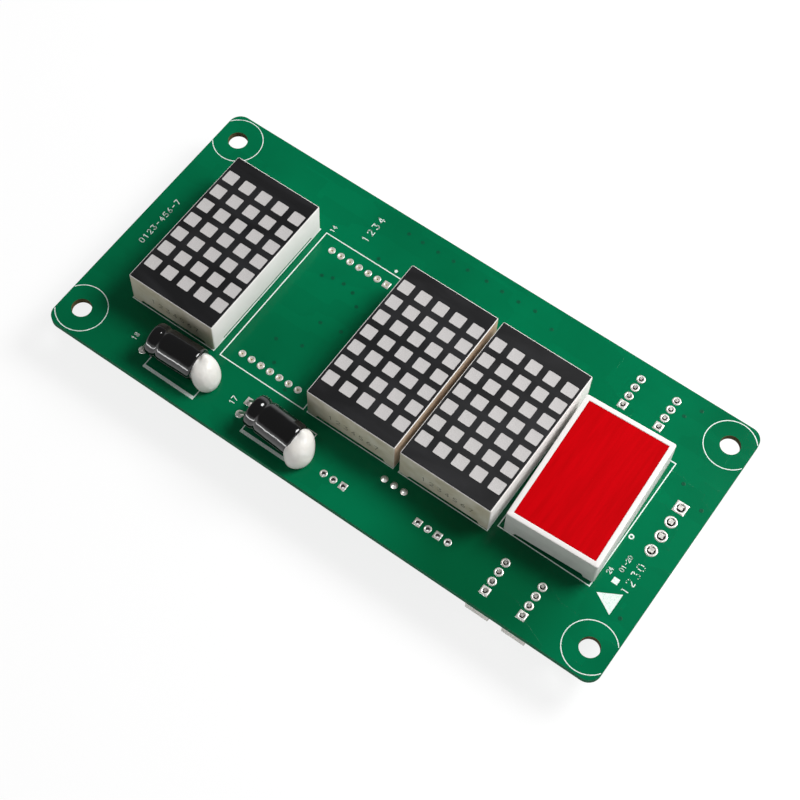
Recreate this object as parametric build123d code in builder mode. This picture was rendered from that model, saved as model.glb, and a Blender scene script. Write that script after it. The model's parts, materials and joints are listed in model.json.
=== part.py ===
from build123d import *
import os
from math import cos, radians, sin

# Elevator hall display board, lying flat with its front up.
# Millimetres. The origin is the centre of the four mounting holes on the board's rear face,
# +X runs along the long side towards the light bar and +Z comes out of the front.

os.makedirs("parts", exist_ok=True)

# Circuit board
board_length = 144.2
board_width = 69.2
board_thick = 1.6
board_corner = 3.0
mount_edge_x = 5.0
mount_edge_y = 6.45
mount_hole = 4.6
pin_hole = 1.0
wide_pin_hole = 1.75

# Printed lines
ink_thick = 0.03
line_width = 0.25
heavy_line_width = 0.8
outline_width = 22.8
outline_length = 39.2
bar_outline_length = 34.4
frame_length = 13.7
frame_width = 8.8

# Matrix modules. Places along the board are distances from its +X end.
matrix_from_end = {"left": 120.3, "middle": 71.9, "right": 47.65}
empty_from_end = 95.75
slot_y = 0.3
matrix_width = 22.95
matrix_length = 38.9
matrix_height = 9.4
mask_thick = 0.15
mask_margin = 0.22
columns = 5
rows = 7
dot_pitch = 4.6
dot_size = 3.0
well_floor = 2.0
recess_depth = 2.2
recess_wall = 1.0
relief_height = 0.9
relief_angle = 60.0
matrix_foot_x = 2.3
matrix_foot_y = 3.0
substrate_thick = 1.0
substrate_clear = 0.1
chip_size = 0.35
chip_height = 0.25
chip_clear = 0.05
pin_size = 0.5
pin_pitch = 2.54
pins_per_row = 7
pin_row_spacing = 33.02
pin_tail = 1.3

# Light bar
bar_from_end = 23.6
bar_y = 0.15
bar_turn = 2.5
bar_width = 21.85
bar_length = 33.4
bar_height = 8.0
bar_rim = 1.2
bar_ledge = 0.6
bar_edge = 0.25
bar_taper = 8.0
diffuser_thick = 0.5
bar_foot = 2.4
bar_chip_pitch_x = 6.0
bar_chip_pitch_y = 7.0
bar_chip_columns = 3
bar_chip_rows = 4
bar_pin_pitch = 5.08
bar_pins_per_row = 4
bar_pin_row_spacing = 25.4

# Lying capacitors: how each is turned, then where its bung's face, its two holes, its printed
# frame and its lump of glue are, from the board's +X end and across the board
capacitors = {
    "left": {
        "turn": 1.5, "bung": (119.5, -26.0), "pads": (121.5, -26.65),
        "frame": (112.05, -26.8), "glue": (105.3, -25.3), "glue_diameter": 6.9,
    },
    "right": {
        "turn": -3.5, "bung": (91.4, -27.0), "pads": (94.75, -26.5),
        "frame": (85.25, -26.8), "glue": (78.65, -28.8), "glue_diameter": 8.3,
    },
}
can_diameter = 7.5
can_length = 12.0
can_bare = 0.6
bung_diameter = 6.2
bung_depth = 1.6
bung_stand = 0.1
sleeve_thick = 0.15
sleeve_lip = 0.6
sleeve_lift = 0.05
lead_pitch = 3.5
lead_diameter = 0.6
lead_depth = 1.0
lead_straight = 0.5
lead_drop = 0.4
glue_widest = 3.0
glue_rise = 3.7
glue_undercut = 1.1
glue_cap = 0.6

# Rear connectors
contacts = 4
button_pitch = 2.54
button_from_end = {"inner": 29.05, "outer": 19.9}
button_rows = {"lower": -26.8, "upper": 26.55}
button_end = 2.4
button_width = 5.75
button_height = 7.0
button_wall = 0.75
button_floor = 1.6
button_key_width = 1.2
button_key_spacing = 5.0
button_key_depth = 4.2
button_pin = 0.64
button_pin_short = 0.9
power_from_end = 6.0
power_y = 3.15
power_pitch = 3.96
power_width = 8.0
power_base = 3.2
power_height = 9.4
power_wall = 1.5
power_lip = 0.5
power_pin = 1.14
power_pin_short = 0.8
power_wall_gap = 3.3
contact_rise = 0.35
contact_clear = 0.03

# Three-lead regulator
regulator_from_end = 57.95
regulator_y = -22.33
regulator_diameter = 4.8
regulator_flat = 1.3
regulator_height = 4.6
regulator_stand = 2.4
regulator_lead = 0.45
regulator_lead_gap = 1.27
regulator_lead_count = 3
regulator_lead_bury = 0.8

# Open holes where parts are left off
open_three = (69.15, -28.9)
open_four = (45.2, -26.33)
open_three_count = 3
open_four_count = 4

# Rear chips
lead_thick = 0.18
chip_stand = 0.1
package_taper = 8.0
foot_length = 0.7
leg_run = 0.9
micro_side = 7.0
micro_height = 1.4
micro_pitch = 0.8
micro_lead = 0.35
micro_leads_per_side = 8
driver_length = 9.9
driver_width = 3.9
driver_height = 1.5
driver_leads_per_side = 8
bus_y = 2.0
bus_length = 4.9
bus_leads_per_side = 4
small_outline_pitch = 1.27
small_outline_lead = 0.42
crystal_y = -9.5
crystal_length = 11.4
crystal_width = 4.6
crystal_height = 3.6
crystal_base_height = 0.6
crystal_base_margin = 0.35
small_length = 2.0
small_width = 1.25
resistor_height = 0.5
capacitor_height = 0.9
resistor_y = 7.8
resistor_count = 7
resistor_pitch = 2.3
driver_capacitor_y = -5.6
bus_capacitor_y = -3.6
crystal_capacitor_spacing = 16.7

# What follows from the sizes above
mount_spacing_x = board_length - 2 * mount_edge_x
mount_spacing_y = board_width - 2 * mount_edge_y
seat_z = board_thick + ink_thick
housing_height = matrix_height - mask_thick
on_base = (Align.CENTER, Align.MIN)
cap_radius = can_diameter / 2 + sleeve_thick
cap_axis_z = seat_z + cap_radius + sleeve_lift


def from_end(distance):
    """Place along X at a distance from the board's +X end."""
    return board_length / 2 - distance


matrix_xs = {side: from_end(distance) for side, distance in matrix_from_end.items()}
empty_slot_x = from_end(empty_from_end)
bar_x = from_end(bar_from_end)
power_x = from_end(power_from_end)
regulator_x = from_end(regulator_from_end)
button_places = {
    f"{row}_{column}": (from_end(distance), y)
    for row, y in button_rows.items()
    for column, distance in button_from_end.items()
}

# The rear parts sit behind the module places that they serve
micro_place = (empty_slot_x, slot_y)
crystal_place = (empty_slot_x, crystal_y)
driver_xs = [matrix_xs["middle"], matrix_xs["right"]]
driver_places = [(x, slot_y) for x in driver_xs]
bus_place = (bar_x, bus_y)
resistor_rows = [(x, resistor_y) for x in driver_xs]
decoupler_places = [(x, driver_capacitor_y) for x in driver_xs]
decoupler_places += [(empty_slot_x, resistor_y), (bar_x, bus_capacitor_y)]
decoupler_places += [(empty_slot_x + end * crystal_capacitor_spacing / 2, crystal_y) for end in (-1, 1)]


def save(piece, name):
    """Label one finished piece and write it to its own file."""
    piece.part.label = name
    export_step(piece.part, f"parts/{name}.step")


def rear_plane(x, y, depth=0.0):
    """Plane on the board's rear side, facing away from the board."""
    return Plane(origin=(x, y, -depth), x_dir=(1, 0, 0), z_dir=(0, 0, -1))


def contact_column(place, pitch):
    """Hole places of one four-way connector, whose contacts run along Y."""
    x, y = place
    first = y - pitch * (contacts - 1) / 2
    return [(x, first + number * pitch) for number in range(contacts)]


def row_along_x(place, pitch, count):
    """Hole places of a row that runs along X."""
    x, y = place
    first = x - pitch * (count - 1) / 2
    return [(first + number * pitch, y) for number in range(count)]


def module_pins(x):
    """Hole places of one matrix module: a row of seven at each end."""
    lower = row_along_x((x, slot_y - pin_row_spacing / 2), pin_pitch, pins_per_row)
    upper = row_along_x((x, slot_y + pin_row_spacing / 2), pin_pitch, pins_per_row)
    return lower + upper


def bar_pins():
    """Hole places of the light bar, square to the board."""
    lower = row_along_x((bar_x, bar_y - bar_pin_row_spacing / 2), bar_pin_pitch, bar_pins_per_row)
    upper = row_along_x((bar_x, bar_y + bar_pin_row_spacing / 2), bar_pin_pitch, bar_pins_per_row)
    return lower + upper


def capacitor_pins(side):
    """The two hole places of one capacitor."""
    distance, y = capacitors[side]["pads"]
    return [(from_end(distance), y + end * lead_pitch / 2) for end in (-1, 1)]


filled_holes = bar_pins() + capacitor_pins("left") + capacitor_pins("right")
filled_holes += row_along_x((regulator_x, regulator_y), pin_pitch, regulator_lead_count)
for x in matrix_xs.values():
    filled_holes += module_pins(x)
for place in button_places.values():
    filled_holes += contact_column(place, button_pitch)
power_holes = contact_column((power_x, power_y), power_pitch)
open_holes = module_pins(empty_slot_x)
for (distance, y), count in ((open_three, open_three_count), (open_four, open_four_count)):
    open_holes += row_along_x((from_end(distance), y), pin_pitch, count)

# Circuit board. Holes that a pin fills are drawn square and the open ones six-sided: all are
# drilled round, and a hundred round ones would be most of the model.
with BuildPart() as circuit_board:
    with BuildSketch():
        RectangleRounded(board_length, board_width, board_corner)
        with Locations(*filled_holes):
            Rectangle(pin_hole, pin_hole, mode=Mode.SUBTRACT)
        with Locations(*power_holes):
            Rectangle(wide_pin_hole, wide_pin_hole, mode=Mode.SUBTRACT)
        with Locations(*open_holes):
            RegularPolygon(pin_hole / 2, 6, major_radius=False, mode=Mode.SUBTRACT)
    extrude(amount=board_thick)
    with GridLocations(mount_spacing_x, mount_spacing_y, 2, 2):
        Hole(mount_hole / 2)
save(circuit_board, "circuit_board")


def frame_lines(x, y, width, length, line=line_width):
    """Rectangular line of the stated width, centred on its nominal edge."""
    with Locations((x, y)):
        Rectangle(width + line, length + line)
        Rectangle(width - line, length - line, mode=Mode.SUBTRACT)


# Printed lines: module outlines and capacitor frames
with BuildPart() as printed_lines:
    for place in list(matrix_xs.values()) + [empty_slot_x]:
        with BuildSketch(Plane.XY.offset(board_thick)):
            frame_lines(place, slot_y, outline_width, outline_length)
        extrude(amount=ink_thick)
    with BuildSketch(Plane.XY.offset(board_thick)):
        frame_lines(bar_x, bar_y, outline_width, bar_outline_length)
    extrude(amount=ink_thick)
    for spot in capacitors.values():
        distance, frame_y = spot["frame"]
        frame_x = from_end(distance)
        with BuildSketch(Plane.XY.offset(board_thick)):
            frame_lines(frame_x, frame_y, frame_length, frame_width)
            with Locations((frame_x, frame_y - frame_width / 2)):
                Rectangle(frame_length + line_width, heavy_line_width)
        extrude(amount=ink_thick)
save(printed_lines, "printed_lines")


def well_field(front, depth, mode=Mode.ADD):
    """The five by seven field of square wells, from the front down to a depth.

    They narrow evenly from the size of a dot to the size of a well's floor.
    """
    inset = (dot_size - well_floor) / 2 * depth / (matrix_height - recess_depth)
    narrow_end = dot_size - inset
    with Locations(front.offset(-depth / 2)):
        with GridLocations(dot_pitch, dot_pitch, columns, rows):
            Wedge(
                dot_size, depth, dot_size, inset, inset, narrow_end, narrow_end,
                rotation=(-90, 0, 0), mode=mode,
            )


def matrix_module(side, x):
    """One matrix module: housing, mask, dots, substrate and pins."""
    base = Plane(origin=(x, slot_y, seat_z))
    front = base.offset(matrix_height)
    end_view = Plane(origin=base.origin, x_dir=(1, 0, 0), z_dir=(0, -1, 0))
    side_view = Plane(origin=base.origin, x_dir=(0, 1, 0), z_dir=(1, 0, 0))

    # Moulded housing: light wells that narrow towards the substrate, a recess behind, feet at the corners
    with BuildPart() as housing:
        with BuildSketch(base):
            Rectangle(matrix_width, matrix_length)
        extrude(amount=housing_height)
        well_field(front, matrix_height - recess_depth, mode=Mode.SUBTRACT)
        with BuildSketch(base):
            Rectangle(matrix_width - 2 * recess_wall, matrix_length - 2 * recess_wall)
        extrude(amount=recess_depth, mode=Mode.SUBTRACT)
        with BuildSketch(end_view):
            Trapezoid(matrix_width - 2 * matrix_foot_x, relief_height, relief_angle, align=on_base)
        extrude(amount=matrix_length / 2, both=True, mode=Mode.SUBTRACT)
        with BuildSketch(side_view):
            Trapezoid(matrix_length - 2 * matrix_foot_y, relief_height, relief_angle, align=on_base)
        extrude(amount=matrix_width / 2, both=True, mode=Mode.SUBTRACT)
    save(housing, f"{side}_matrix_housing")

    # Black face mask, a little inside the housing's edge, with a window for each dot
    with BuildPart() as mask:
        with BuildSketch(base.offset(housing_height)):
            Rectangle(matrix_width - 2 * mask_margin, matrix_length - 2 * mask_margin)
        extrude(amount=mask_thick)
        well_field(front, mask_thick, mode=Mode.SUBTRACT)
    save(mask, f"{side}_matrix_mask")

    # Clear filling of the wells, level with the mask, which shows as the square dots
    with BuildPart() as dots:
        well_field(front, matrix_height - recess_depth - chip_height - chip_clear)
    save(dots, f"{side}_matrix_dots")

    # Substrate that closes the back and lights the wells
    inset = 2 * (recess_wall + substrate_clear)
    with BuildPart() as substrate:
        with BuildSketch(base.offset(recess_depth - substrate_thick)):
            Rectangle(matrix_width - inset, matrix_length - inset)
        extrude(amount=substrate_thick)
    save(substrate, f"{side}_matrix_substrate")

    # Fourteen square pins from the substrate down through the board
    with BuildPart() as pins:
        with BuildSketch(Plane.XY.offset(-pin_tail)):
            with Locations(*module_pins(x)):
                Rectangle(pin_size, pin_size)
        extrude(amount=pin_tail + seat_z + recess_depth - substrate_thick)
    save(pins, f"{side}_matrix_pins")


for side, x in matrix_xs.items():
    matrix_module(side, x)

# Light bar, which sits slightly turned on its pins
bar_base = Plane(Location((bar_x, bar_y, seat_z), (0, 0, bar_turn)))
bar_end_view = Plane(origin=bar_base.origin, x_dir=bar_base.x_dir, z_dir=-bar_base.y_dir)
window_width = bar_width - 2 * bar_rim
window_length = bar_length - 2 * bar_rim
cup_width = window_width - 2 * bar_ledge
cup_length = window_length - 2 * bar_ledge
cup_top = bar_height - diffuser_thick

with BuildPart() as bar_housing:
    with BuildSketch(bar_base):
        Rectangle(bar_width, bar_length)
    extrude(amount=bar_height)
    chamfer(bar_housing.faces().sort_by(Axis.Z)[-1].edges(), bar_edge)
    with BuildSketch(bar_base.offset(bar_height)):
        Rectangle(window_width, window_length)
    extrude(amount=-diffuser_thick, mode=Mode.SUBTRACT)
    with BuildSketch(bar_base.offset(cup_top)):
        Rectangle(cup_width, cup_length)
    extrude(amount=-(cup_top - recess_depth), taper=bar_taper, mode=Mode.SUBTRACT)
    with BuildSketch(bar_base):
        Rectangle(bar_width - 2 * recess_wall, bar_length - 2 * recess_wall)
    extrude(amount=recess_depth, mode=Mode.SUBTRACT)
    with BuildSketch(bar_end_view):
        Trapezoid(bar_width - 2 * bar_foot, relief_height, relief_angle, align=on_base)
    extrude(amount=bar_length / 2, both=True, mode=Mode.SUBTRACT)
save(bar_housing, "light_bar_housing")

with BuildPart() as bar_diffuser:
    with BuildSketch(bar_base.offset(cup_top)):
        Rectangle(window_width, window_length)
    extrude(amount=diffuser_thick)
save(bar_diffuser, "light_bar_diffuser")

with BuildPart() as bar_filling:
    with BuildSketch(bar_base.offset(cup_top)):
        Rectangle(cup_width, cup_length)
    extrude(amount=-(cup_top - recess_depth - chip_height - chip_clear), taper=bar_taper)
save(bar_filling, "light_bar_filling")

with BuildPart() as bar_chips:
    with BuildSketch(bar_base.offset(recess_depth)):
        with GridLocations(bar_chip_pitch_x, bar_chip_pitch_y, bar_chip_columns, bar_chip_rows):
            Rectangle(chip_size, chip_size)
    extrude(amount=chip_height)
save(bar_chips, "light_bar_chips")

with BuildPart() as bar_substrate:
    with BuildSketch(bar_base.offset(recess_depth - substrate_thick)):
        Rectangle(
            bar_width - 2 * (recess_wall + substrate_clear),
            bar_length - 2 * (recess_wall + substrate_clear),
        )
    extrude(amount=substrate_thick)
save(bar_substrate, "light_bar_substrate")

with BuildPart() as bar_pin_set:
    with BuildSketch(Plane.XY.offset(-pin_tail)):
        with Locations(*bar_pins()):
            Rectangle(pin_size, pin_size)
    extrude(amount=pin_tail + seat_z + recess_depth - substrate_thick)
save(bar_pin_set, "light_bar_pins")


def lying_capacitor(side):
    """One capacitor on its side: can, sleeve, bung, leads and the glue at its far end."""
    spot = capacitors[side]
    bung_distance, bung_y = spot["bung"]
    middle = Plane(Location((from_end(bung_distance), bung_y, cap_axis_z), (0, 0, spot["turn"])))
    axis = Axis(middle.origin, middle.x_dir)
    can_radius = can_diameter / 2

    # Can, drawn as half its section, with a seat for the bung in its open end
    with BuildPart() as can:
        with BuildSketch(middle):
            with BuildLine():
                Polyline(
                    (bung_depth, 0),
                    (bung_depth, bung_diameter / 2),
                    (0, bung_diameter / 2),
                    (0, can_radius),
                    (can_length, can_radius),
                    (can_length, 0),
                    close=True,
                )
            make_face()
        revolve(axis=axis)
    save(can, f"{side}_capacitor_can")

    # Shrink sleeve with a lip over the open end, short of the can's closed end
    with BuildPart() as sleeve:
        with BuildSketch(middle):
            with BuildLine():
                Polyline(
                    (-sleeve_thick, can_radius - sleeve_lip),
                    (-sleeve_thick, cap_radius),
                    (can_length - can_bare, cap_radius),
                    (can_length - can_bare, can_radius),
                    (0, can_radius),
                    (0, can_radius - sleeve_lip),
                    close=True,
                )
            make_face()
        revolve(axis=axis)
    save(sleeve, f"{side}_capacitor_sleeve")

    # Rubber bung in the open end, with a blind hole round each lead
    lead_planes = [
        Plane(origin=middle.from_local_coords((-bung_stand, end * lead_pitch / 2, 0)), z_dir=middle.x_dir)
        for end in (-1, 1)
    ]
    with BuildPart() as bung:
        with BuildSketch(Plane(origin=middle.from_local_coords((-bung_stand, 0, 0)), z_dir=middle.x_dir)):
            Circle(bung_diameter / 2)
        extrude(amount=bung_depth + bung_stand)
        with BuildSketch(*lead_planes):
            RegularPolygon(lead_diameter / 2, 6)
        extrude(amount=lead_depth, mode=Mode.SUBTRACT)
    save(bung, f"{side}_capacitor_bung")

    # Leads: straight out of the bung, slanting down to the pads, then through the board
    with BuildPart() as leads:
        for lead_plane, (pad_x, pad_y) in zip(lead_planes, capacitor_pins(side)):
            with BuildLine() as run:
                Polyline(
                    lead_plane.from_local_coords((0, 0, lead_depth)),
                    lead_plane.from_local_coords((0, 0, -lead_straight)),
                    (pad_x, pad_y, seat_z + lead_drop),
                    (pad_x, pad_y, -pin_tail),
                )
            with BuildSketch(lead_plane.offset(lead_depth)):
                RegularPolygon(lead_diameter / 2, 6)
            sweep(path=run.line, transition=Transition.RIGHT)
    save(leads, f"{side}_capacitor_leads")

    # Silicone lump on the far end: a dome that bulges above its foot, holding the can to the board
    glue_radius = spot["glue_diameter"] / 2
    glue_distance, glue_y = spot["glue"]
    glue_plane = Plane(origin=(from_end(glue_distance), glue_y, seat_z), x_dir=(1, 0, 0), z_dir=(0, -1, 0))
    with BuildPart() as glue:
        with BuildSketch(glue_plane):
            with BuildLine():
                Polyline(
                    (0, 0),
                    (glue_radius - glue_undercut, 0),
                    (glue_radius, glue_widest),
                    (glue_radius / 2, glue_widest + glue_rise - glue_cap),
                    (0, glue_widest + glue_rise),
                    close=True,
                )
            make_face()
        revolve(axis=Axis(glue_plane.origin, (0, 0, 1)))
        with BuildSketch(Plane(origin=middle.origin, z_dir=middle.x_dir)):
            Circle(cap_radius + sleeve_lift)
        extrude(amount=can_length + sleeve_lift, mode=Mode.SUBTRACT)
    save(glue, f"{side}_capacitor_glue")


for side in capacitors:
    lying_capacitor(side)


def button_connector(name, place):
    """Shrouded four-way connector for one call button: open box with keyways, four pins."""
    x, y = place
    length = button_pitch * (contacts - 1) + 2 * button_end
    inner_width = button_width - 2 * button_wall
    with BuildPart() as shroud:
        with BuildSketch(rear_plane(x, y)):
            Rectangle(button_width, length)
        extrude(amount=button_height)
        with BuildSketch(rear_plane(x, y, button_floor)):
            Rectangle(inner_width, length - 2 * button_wall)
        extrude(amount=button_height - button_floor, mode=Mode.SUBTRACT)
        with BuildSketch(rear_plane(x, y, button_height - button_key_depth)):
            with Locations((button_width / 2, 0)):
                with GridLocations(1, button_key_spacing, 1, 2):
                    Rectangle(2 * button_wall, button_key_width)
        extrude(amount=button_key_depth, mode=Mode.SUBTRACT)
        hole_side = button_pin + 2 * contact_clear
        with BuildSketch(rear_plane(0, 0)):
            with Locations(*[(pin_x, -pin_y) for pin_x, pin_y in contact_column(place, button_pitch)]):
                Rectangle(hole_side, hole_side)
        extrude(amount=button_floor, mode=Mode.SUBTRACT)
    save(shroud, f"{name}_button_connector")

    with BuildPart() as pins:
        with BuildSketch(Plane.XY.offset(board_thick + contact_rise)):
            with Locations(*contact_column(place, button_pitch)):
                Rectangle(button_pin, button_pin)
        extrude(amount=-(board_thick + contact_rise + button_height - button_pin_short))
    save(pins, f"{name}_button_pins")


for name, place in button_places.items():
    button_connector(name, place)

# Power connector: base block with a friction wall whose lip holds the plug
power_length = power_pitch * contacts
power_end = (power_x, power_y - power_length / 2, 0)
with BuildPart() as power_housing:
    with BuildSketch(Plane(origin=power_end, x_dir=(1, 0, 0), z_dir=(0, -1, 0))):
        with BuildLine():
            Polyline(
                (-power_wall_gap, 0),
                (power_width - power_wall_gap, 0),
                (power_width - power_wall_gap, -power_height),
                (power_width - power_wall_gap - power_wall, -power_height),
                (power_width - power_wall_gap - power_wall - power_lip, -power_height + power_lip),
                (power_width - power_wall_gap - power_wall, -power_height + 2 * power_lip),
                (power_width - power_wall_gap - power_wall, -power_base),
                (-power_wall_gap, -power_base),
                close=True,
            )
        make_face()
    extrude(amount=-power_length)
    hole_side = power_pin + 2 * contact_clear
    with BuildSketch():
        with Locations(*power_holes):
            Rectangle(hole_side, hole_side)
    extrude(amount=-power_base, mode=Mode.SUBTRACT)
save(power_housing, "power_connector")

with BuildPart() as power_pins:
    with BuildSketch(Plane.XY.offset(board_thick + contact_rise)):
        with Locations(*power_holes):
            Rectangle(power_pin, power_pin)
    extrude(amount=-(board_thick + contact_rise + power_height - power_pin_short))
save(power_pins, "power_pins")

# Three-lead regulator: a D-shaped body that stands off the board on spread leads
with BuildPart() as regulator:
    with BuildSketch(rear_plane(regulator_x, regulator_y, regulator_stand)):
        Circle(regulator_diameter / 2)
        with Locations((0, -regulator_flat - regulator_diameter / 2)):
            Rectangle(regulator_diameter, regulator_diameter, mode=Mode.SUBTRACT)
    extrude(amount=regulator_height)
    with BuildSketch(rear_plane(regulator_x, regulator_y, regulator_stand)):
        with GridLocations(regulator_lead_gap, 1, regulator_lead_count, 1):
            Rectangle(regulator_lead + 2 * contact_clear, regulator_lead + 2 * contact_clear)
    extrude(amount=regulator_lead_bury, mode=Mode.SUBTRACT)
save(regulator, "regulator_body")

with BuildPart() as regulator_leads:
    holes = row_along_x((regulator_x, regulator_y), pin_pitch, regulator_lead_count)
    body_ends = row_along_x((regulator_x, regulator_y), regulator_lead_gap, regulator_lead_count)
    for (hole_x, hole_y), (body_x, body_y) in zip(holes, body_ends):
        with BuildLine() as run:
            Polyline(
                (body_x, body_y, -regulator_stand - regulator_lead_bury),
                (body_x, body_y, -regulator_stand + regulator_lead),
                (hole_x, hole_y, -regulator_lead),
                (hole_x, hole_y, board_thick + contact_rise),
            )
        with BuildSketch(Plane.XY.offset(-regulator_stand - regulator_lead_bury)):
            with Locations((body_x, body_y)):
                Rectangle(regulator_lead, regulator_lead)
        sweep(path=run.line, transition=Transition.RIGHT)
save(regulator_leads, "regulator_leads")


def moulded_body(places, length, width, height):
    """Moulded chip bodies whose sides slope away from the parting line at half height."""
    with BuildPart() as body:
        for x, y in places:
            parting = rear_plane(x, y, chip_stand + height / 2)
            for depth in (height / 2, -height / 2):
                with BuildSketch(parting):
                    Rectangle(length, width)
                extrude(amount=depth, taper=package_taper)
    return body


def gull_leads(sides, reach, height, count, pitch, lead_width):
    """Rows of bent leads, each row on the plane given for its side of the body.

    Each lead leaves the body at half height, slopes to the board and ends in a flat foot.
    """
    top = chip_stand + height / 2
    with BuildPart() as leads:
        for plane in sides:
            for number in range(count):
                start = (number - (count - 1) / 2) * pitch - lead_width / 2
                with BuildSketch(plane.offset(start)):
                    with BuildLine():
                        Polyline(
                            (reach, top),
                            (reach + leg_run, lead_thick),
                            (reach + leg_run + foot_length, lead_thick),
                            (reach + leg_run + foot_length, 0),
                            (reach + leg_run - lead_thick, 0),
                            (reach, top - lead_thick),
                            close=True,
                        )
                    make_face()
                extrude(amount=lead_width)
    return leads


def side_planes(place, turns):
    """Section planes through a chip's middle, one for each side that has leads."""
    x, y = place
    planes = []
    for turn in turns:
        outward = (cos(radians(turn)), sin(radians(turn)), 0)
        along = (-outward[1], outward[0], 0)
        planes.append(Plane(origin=(x, y, 0), x_dir=outward, z_dir=along))
    return planes


micro = moulded_body([micro_place], micro_side, micro_side, micro_height)
save(micro, "microcontroller_body")
micro_leads = gull_leads(
    side_planes(micro_place, (0, 90, 180, 270)),
    micro_side / 2, micro_height, micro_leads_per_side, micro_pitch, micro_lead,
)
save(micro_leads, "microcontroller_leads")

drivers = moulded_body(driver_places, driver_length, driver_width, driver_height)
save(drivers, "driver_bodies")
driver_sides = [plane for place in driver_places for plane in side_planes(place, (90, 270))]
driver_leads = gull_leads(
    driver_sides,
    driver_width / 2, driver_height, driver_leads_per_side, small_outline_pitch, small_outline_lead,
)
save(driver_leads, "driver_leads")

bus = moulded_body([bus_place], bus_length, driver_width, driver_height)
save(bus, "bus_transceiver_body")
bus_leads = gull_leads(
    side_planes(bus_place, (90, 270)),
    driver_width / 2, driver_height, bus_leads_per_side, small_outline_pitch, small_outline_lead,
)
save(bus_leads, "bus_transceiver_leads")

# Crystal: long oval can on a flat base
with BuildPart() as crystal:
    with BuildSketch(rear_plane(*crystal_place)):
        Rectangle(crystal_length + 2 * crystal_base_margin, crystal_width + 2 * crystal_base_margin)
    extrude(amount=crystal_base_height)
    with BuildSketch(rear_plane(*crystal_place, crystal_base_height)):
        SlotOverall(crystal_length, crystal_width)
    extrude(amount=crystal_height - crystal_base_height)
save(crystal, "crystal")

# Small rectangular chips: a row of resistors by each driver, a capacitor by each larger chip
with BuildPart() as resistors:
    for x, y in resistor_rows:
        with BuildSketch(rear_plane(x, y)):
            with GridLocations(resistor_pitch, small_length, resistor_count, 1):
                Rectangle(small_width, small_length)
        extrude(amount=resistor_height)
save(resistors, "chip_resistors")

with BuildPart() as decouplers:
    for x, y in decoupler_places:
        with BuildSketch(rear_plane(x, y)):
            Rectangle(small_length, small_width)
        extrude(amount=capacitor_height)
save(decouplers, "chip_capacitors")
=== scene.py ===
# %% [markdown]
# # Hall display board of an elevator
#
# The board lies face up on a pale floor: three dot matrix modules, one empty module place, a
# red light bar and two lying capacitors on green laminate. The solid model is loaded as a fixed
# frame. Each step below gives some of its nodes a finish, puts a finer surface in a node's
# place, or adds small things such as solder. The surfaces are worked out with numpy as whole
# arrays.

# %% Load the solid model
import json
from math import cos, pi, radians, sin

import bmesh
import bpy
import numpy as np
from mathutils import Matrix, Vector


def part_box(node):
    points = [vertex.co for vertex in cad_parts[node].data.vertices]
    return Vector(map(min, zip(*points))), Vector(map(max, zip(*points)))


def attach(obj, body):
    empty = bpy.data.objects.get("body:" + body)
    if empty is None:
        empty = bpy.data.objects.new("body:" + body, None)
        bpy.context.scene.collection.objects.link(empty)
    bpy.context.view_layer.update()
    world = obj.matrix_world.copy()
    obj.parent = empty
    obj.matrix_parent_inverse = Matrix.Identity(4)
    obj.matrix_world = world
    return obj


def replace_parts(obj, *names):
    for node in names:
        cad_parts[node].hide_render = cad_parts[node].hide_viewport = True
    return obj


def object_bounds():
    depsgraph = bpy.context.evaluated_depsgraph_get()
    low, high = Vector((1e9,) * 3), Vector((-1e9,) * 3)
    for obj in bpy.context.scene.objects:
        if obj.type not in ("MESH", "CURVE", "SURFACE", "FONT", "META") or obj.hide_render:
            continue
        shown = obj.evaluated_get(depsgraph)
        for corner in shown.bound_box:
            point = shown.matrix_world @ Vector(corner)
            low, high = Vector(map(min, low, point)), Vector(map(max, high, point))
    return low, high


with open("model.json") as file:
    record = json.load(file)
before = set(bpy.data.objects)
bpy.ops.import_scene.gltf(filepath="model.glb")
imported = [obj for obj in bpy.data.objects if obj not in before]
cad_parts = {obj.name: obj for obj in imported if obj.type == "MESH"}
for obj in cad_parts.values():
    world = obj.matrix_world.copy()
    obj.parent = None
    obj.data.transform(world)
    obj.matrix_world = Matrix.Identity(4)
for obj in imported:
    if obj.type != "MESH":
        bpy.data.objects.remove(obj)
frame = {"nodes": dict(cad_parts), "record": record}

cad_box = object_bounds()
nodes = frame["nodes"]
print("nodes of the solid model:", len(nodes))

# %% [markdown]
# ## Units and meshes
#
# A board like this is drawn in millimetres, so the script works in millimetres and turns them
# into metres in one place. A surface is a grid of points, worked out from two parameters. Many
# equal surfaces, such as solder joints, are one array with a first axis for the copies.

# %% Millimetres to metres
MM = 0.001


def place_mm(node):
    """Lowest and highest corner of a node of the solid model, in millimetres."""
    low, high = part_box(node)
    return np.array(low) / MM, np.array(high) / MM


def middle_mm(node):
    """Middle of a node's box, in millimetres."""
    return sum(place_mm(node)) / 2


board_low, board_high = place_mm("circuit_board")
board_top = board_high[2]
print("board from", board_low.round(2), "to", board_high.round(2))

# %% From grids to one mesh


def grid_quads(grid, loop_u=False, loop_v=False):
    """Corner numbers of the quads of a stack of grids shaped copies x u x v x 3.

    Quad (u, v) joins the points (u, v), (u+1, v), (u+1, v+1) and (u, v+1); a looped axis joins
    its last points to its first. Its face looks along the u direction crossed with v.
    """
    copies, nu, nv = grid.shape[:3]
    u, v = np.meshgrid(np.arange(nu - (not loop_u)), np.arange(nv - (not loop_v)), indexing="ij")
    next_u, next_v = (u + 1) % nu, (v + 1) % nv
    quad = np.stack([u * nv + v, next_u * nv + v, next_u * nv + next_v, u * nv + next_v], axis=-1)
    return (quad.reshape(1, -1, 4) + (np.arange(copies) * nu * nv)[:, None, None]).reshape(-1, 4)


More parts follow.
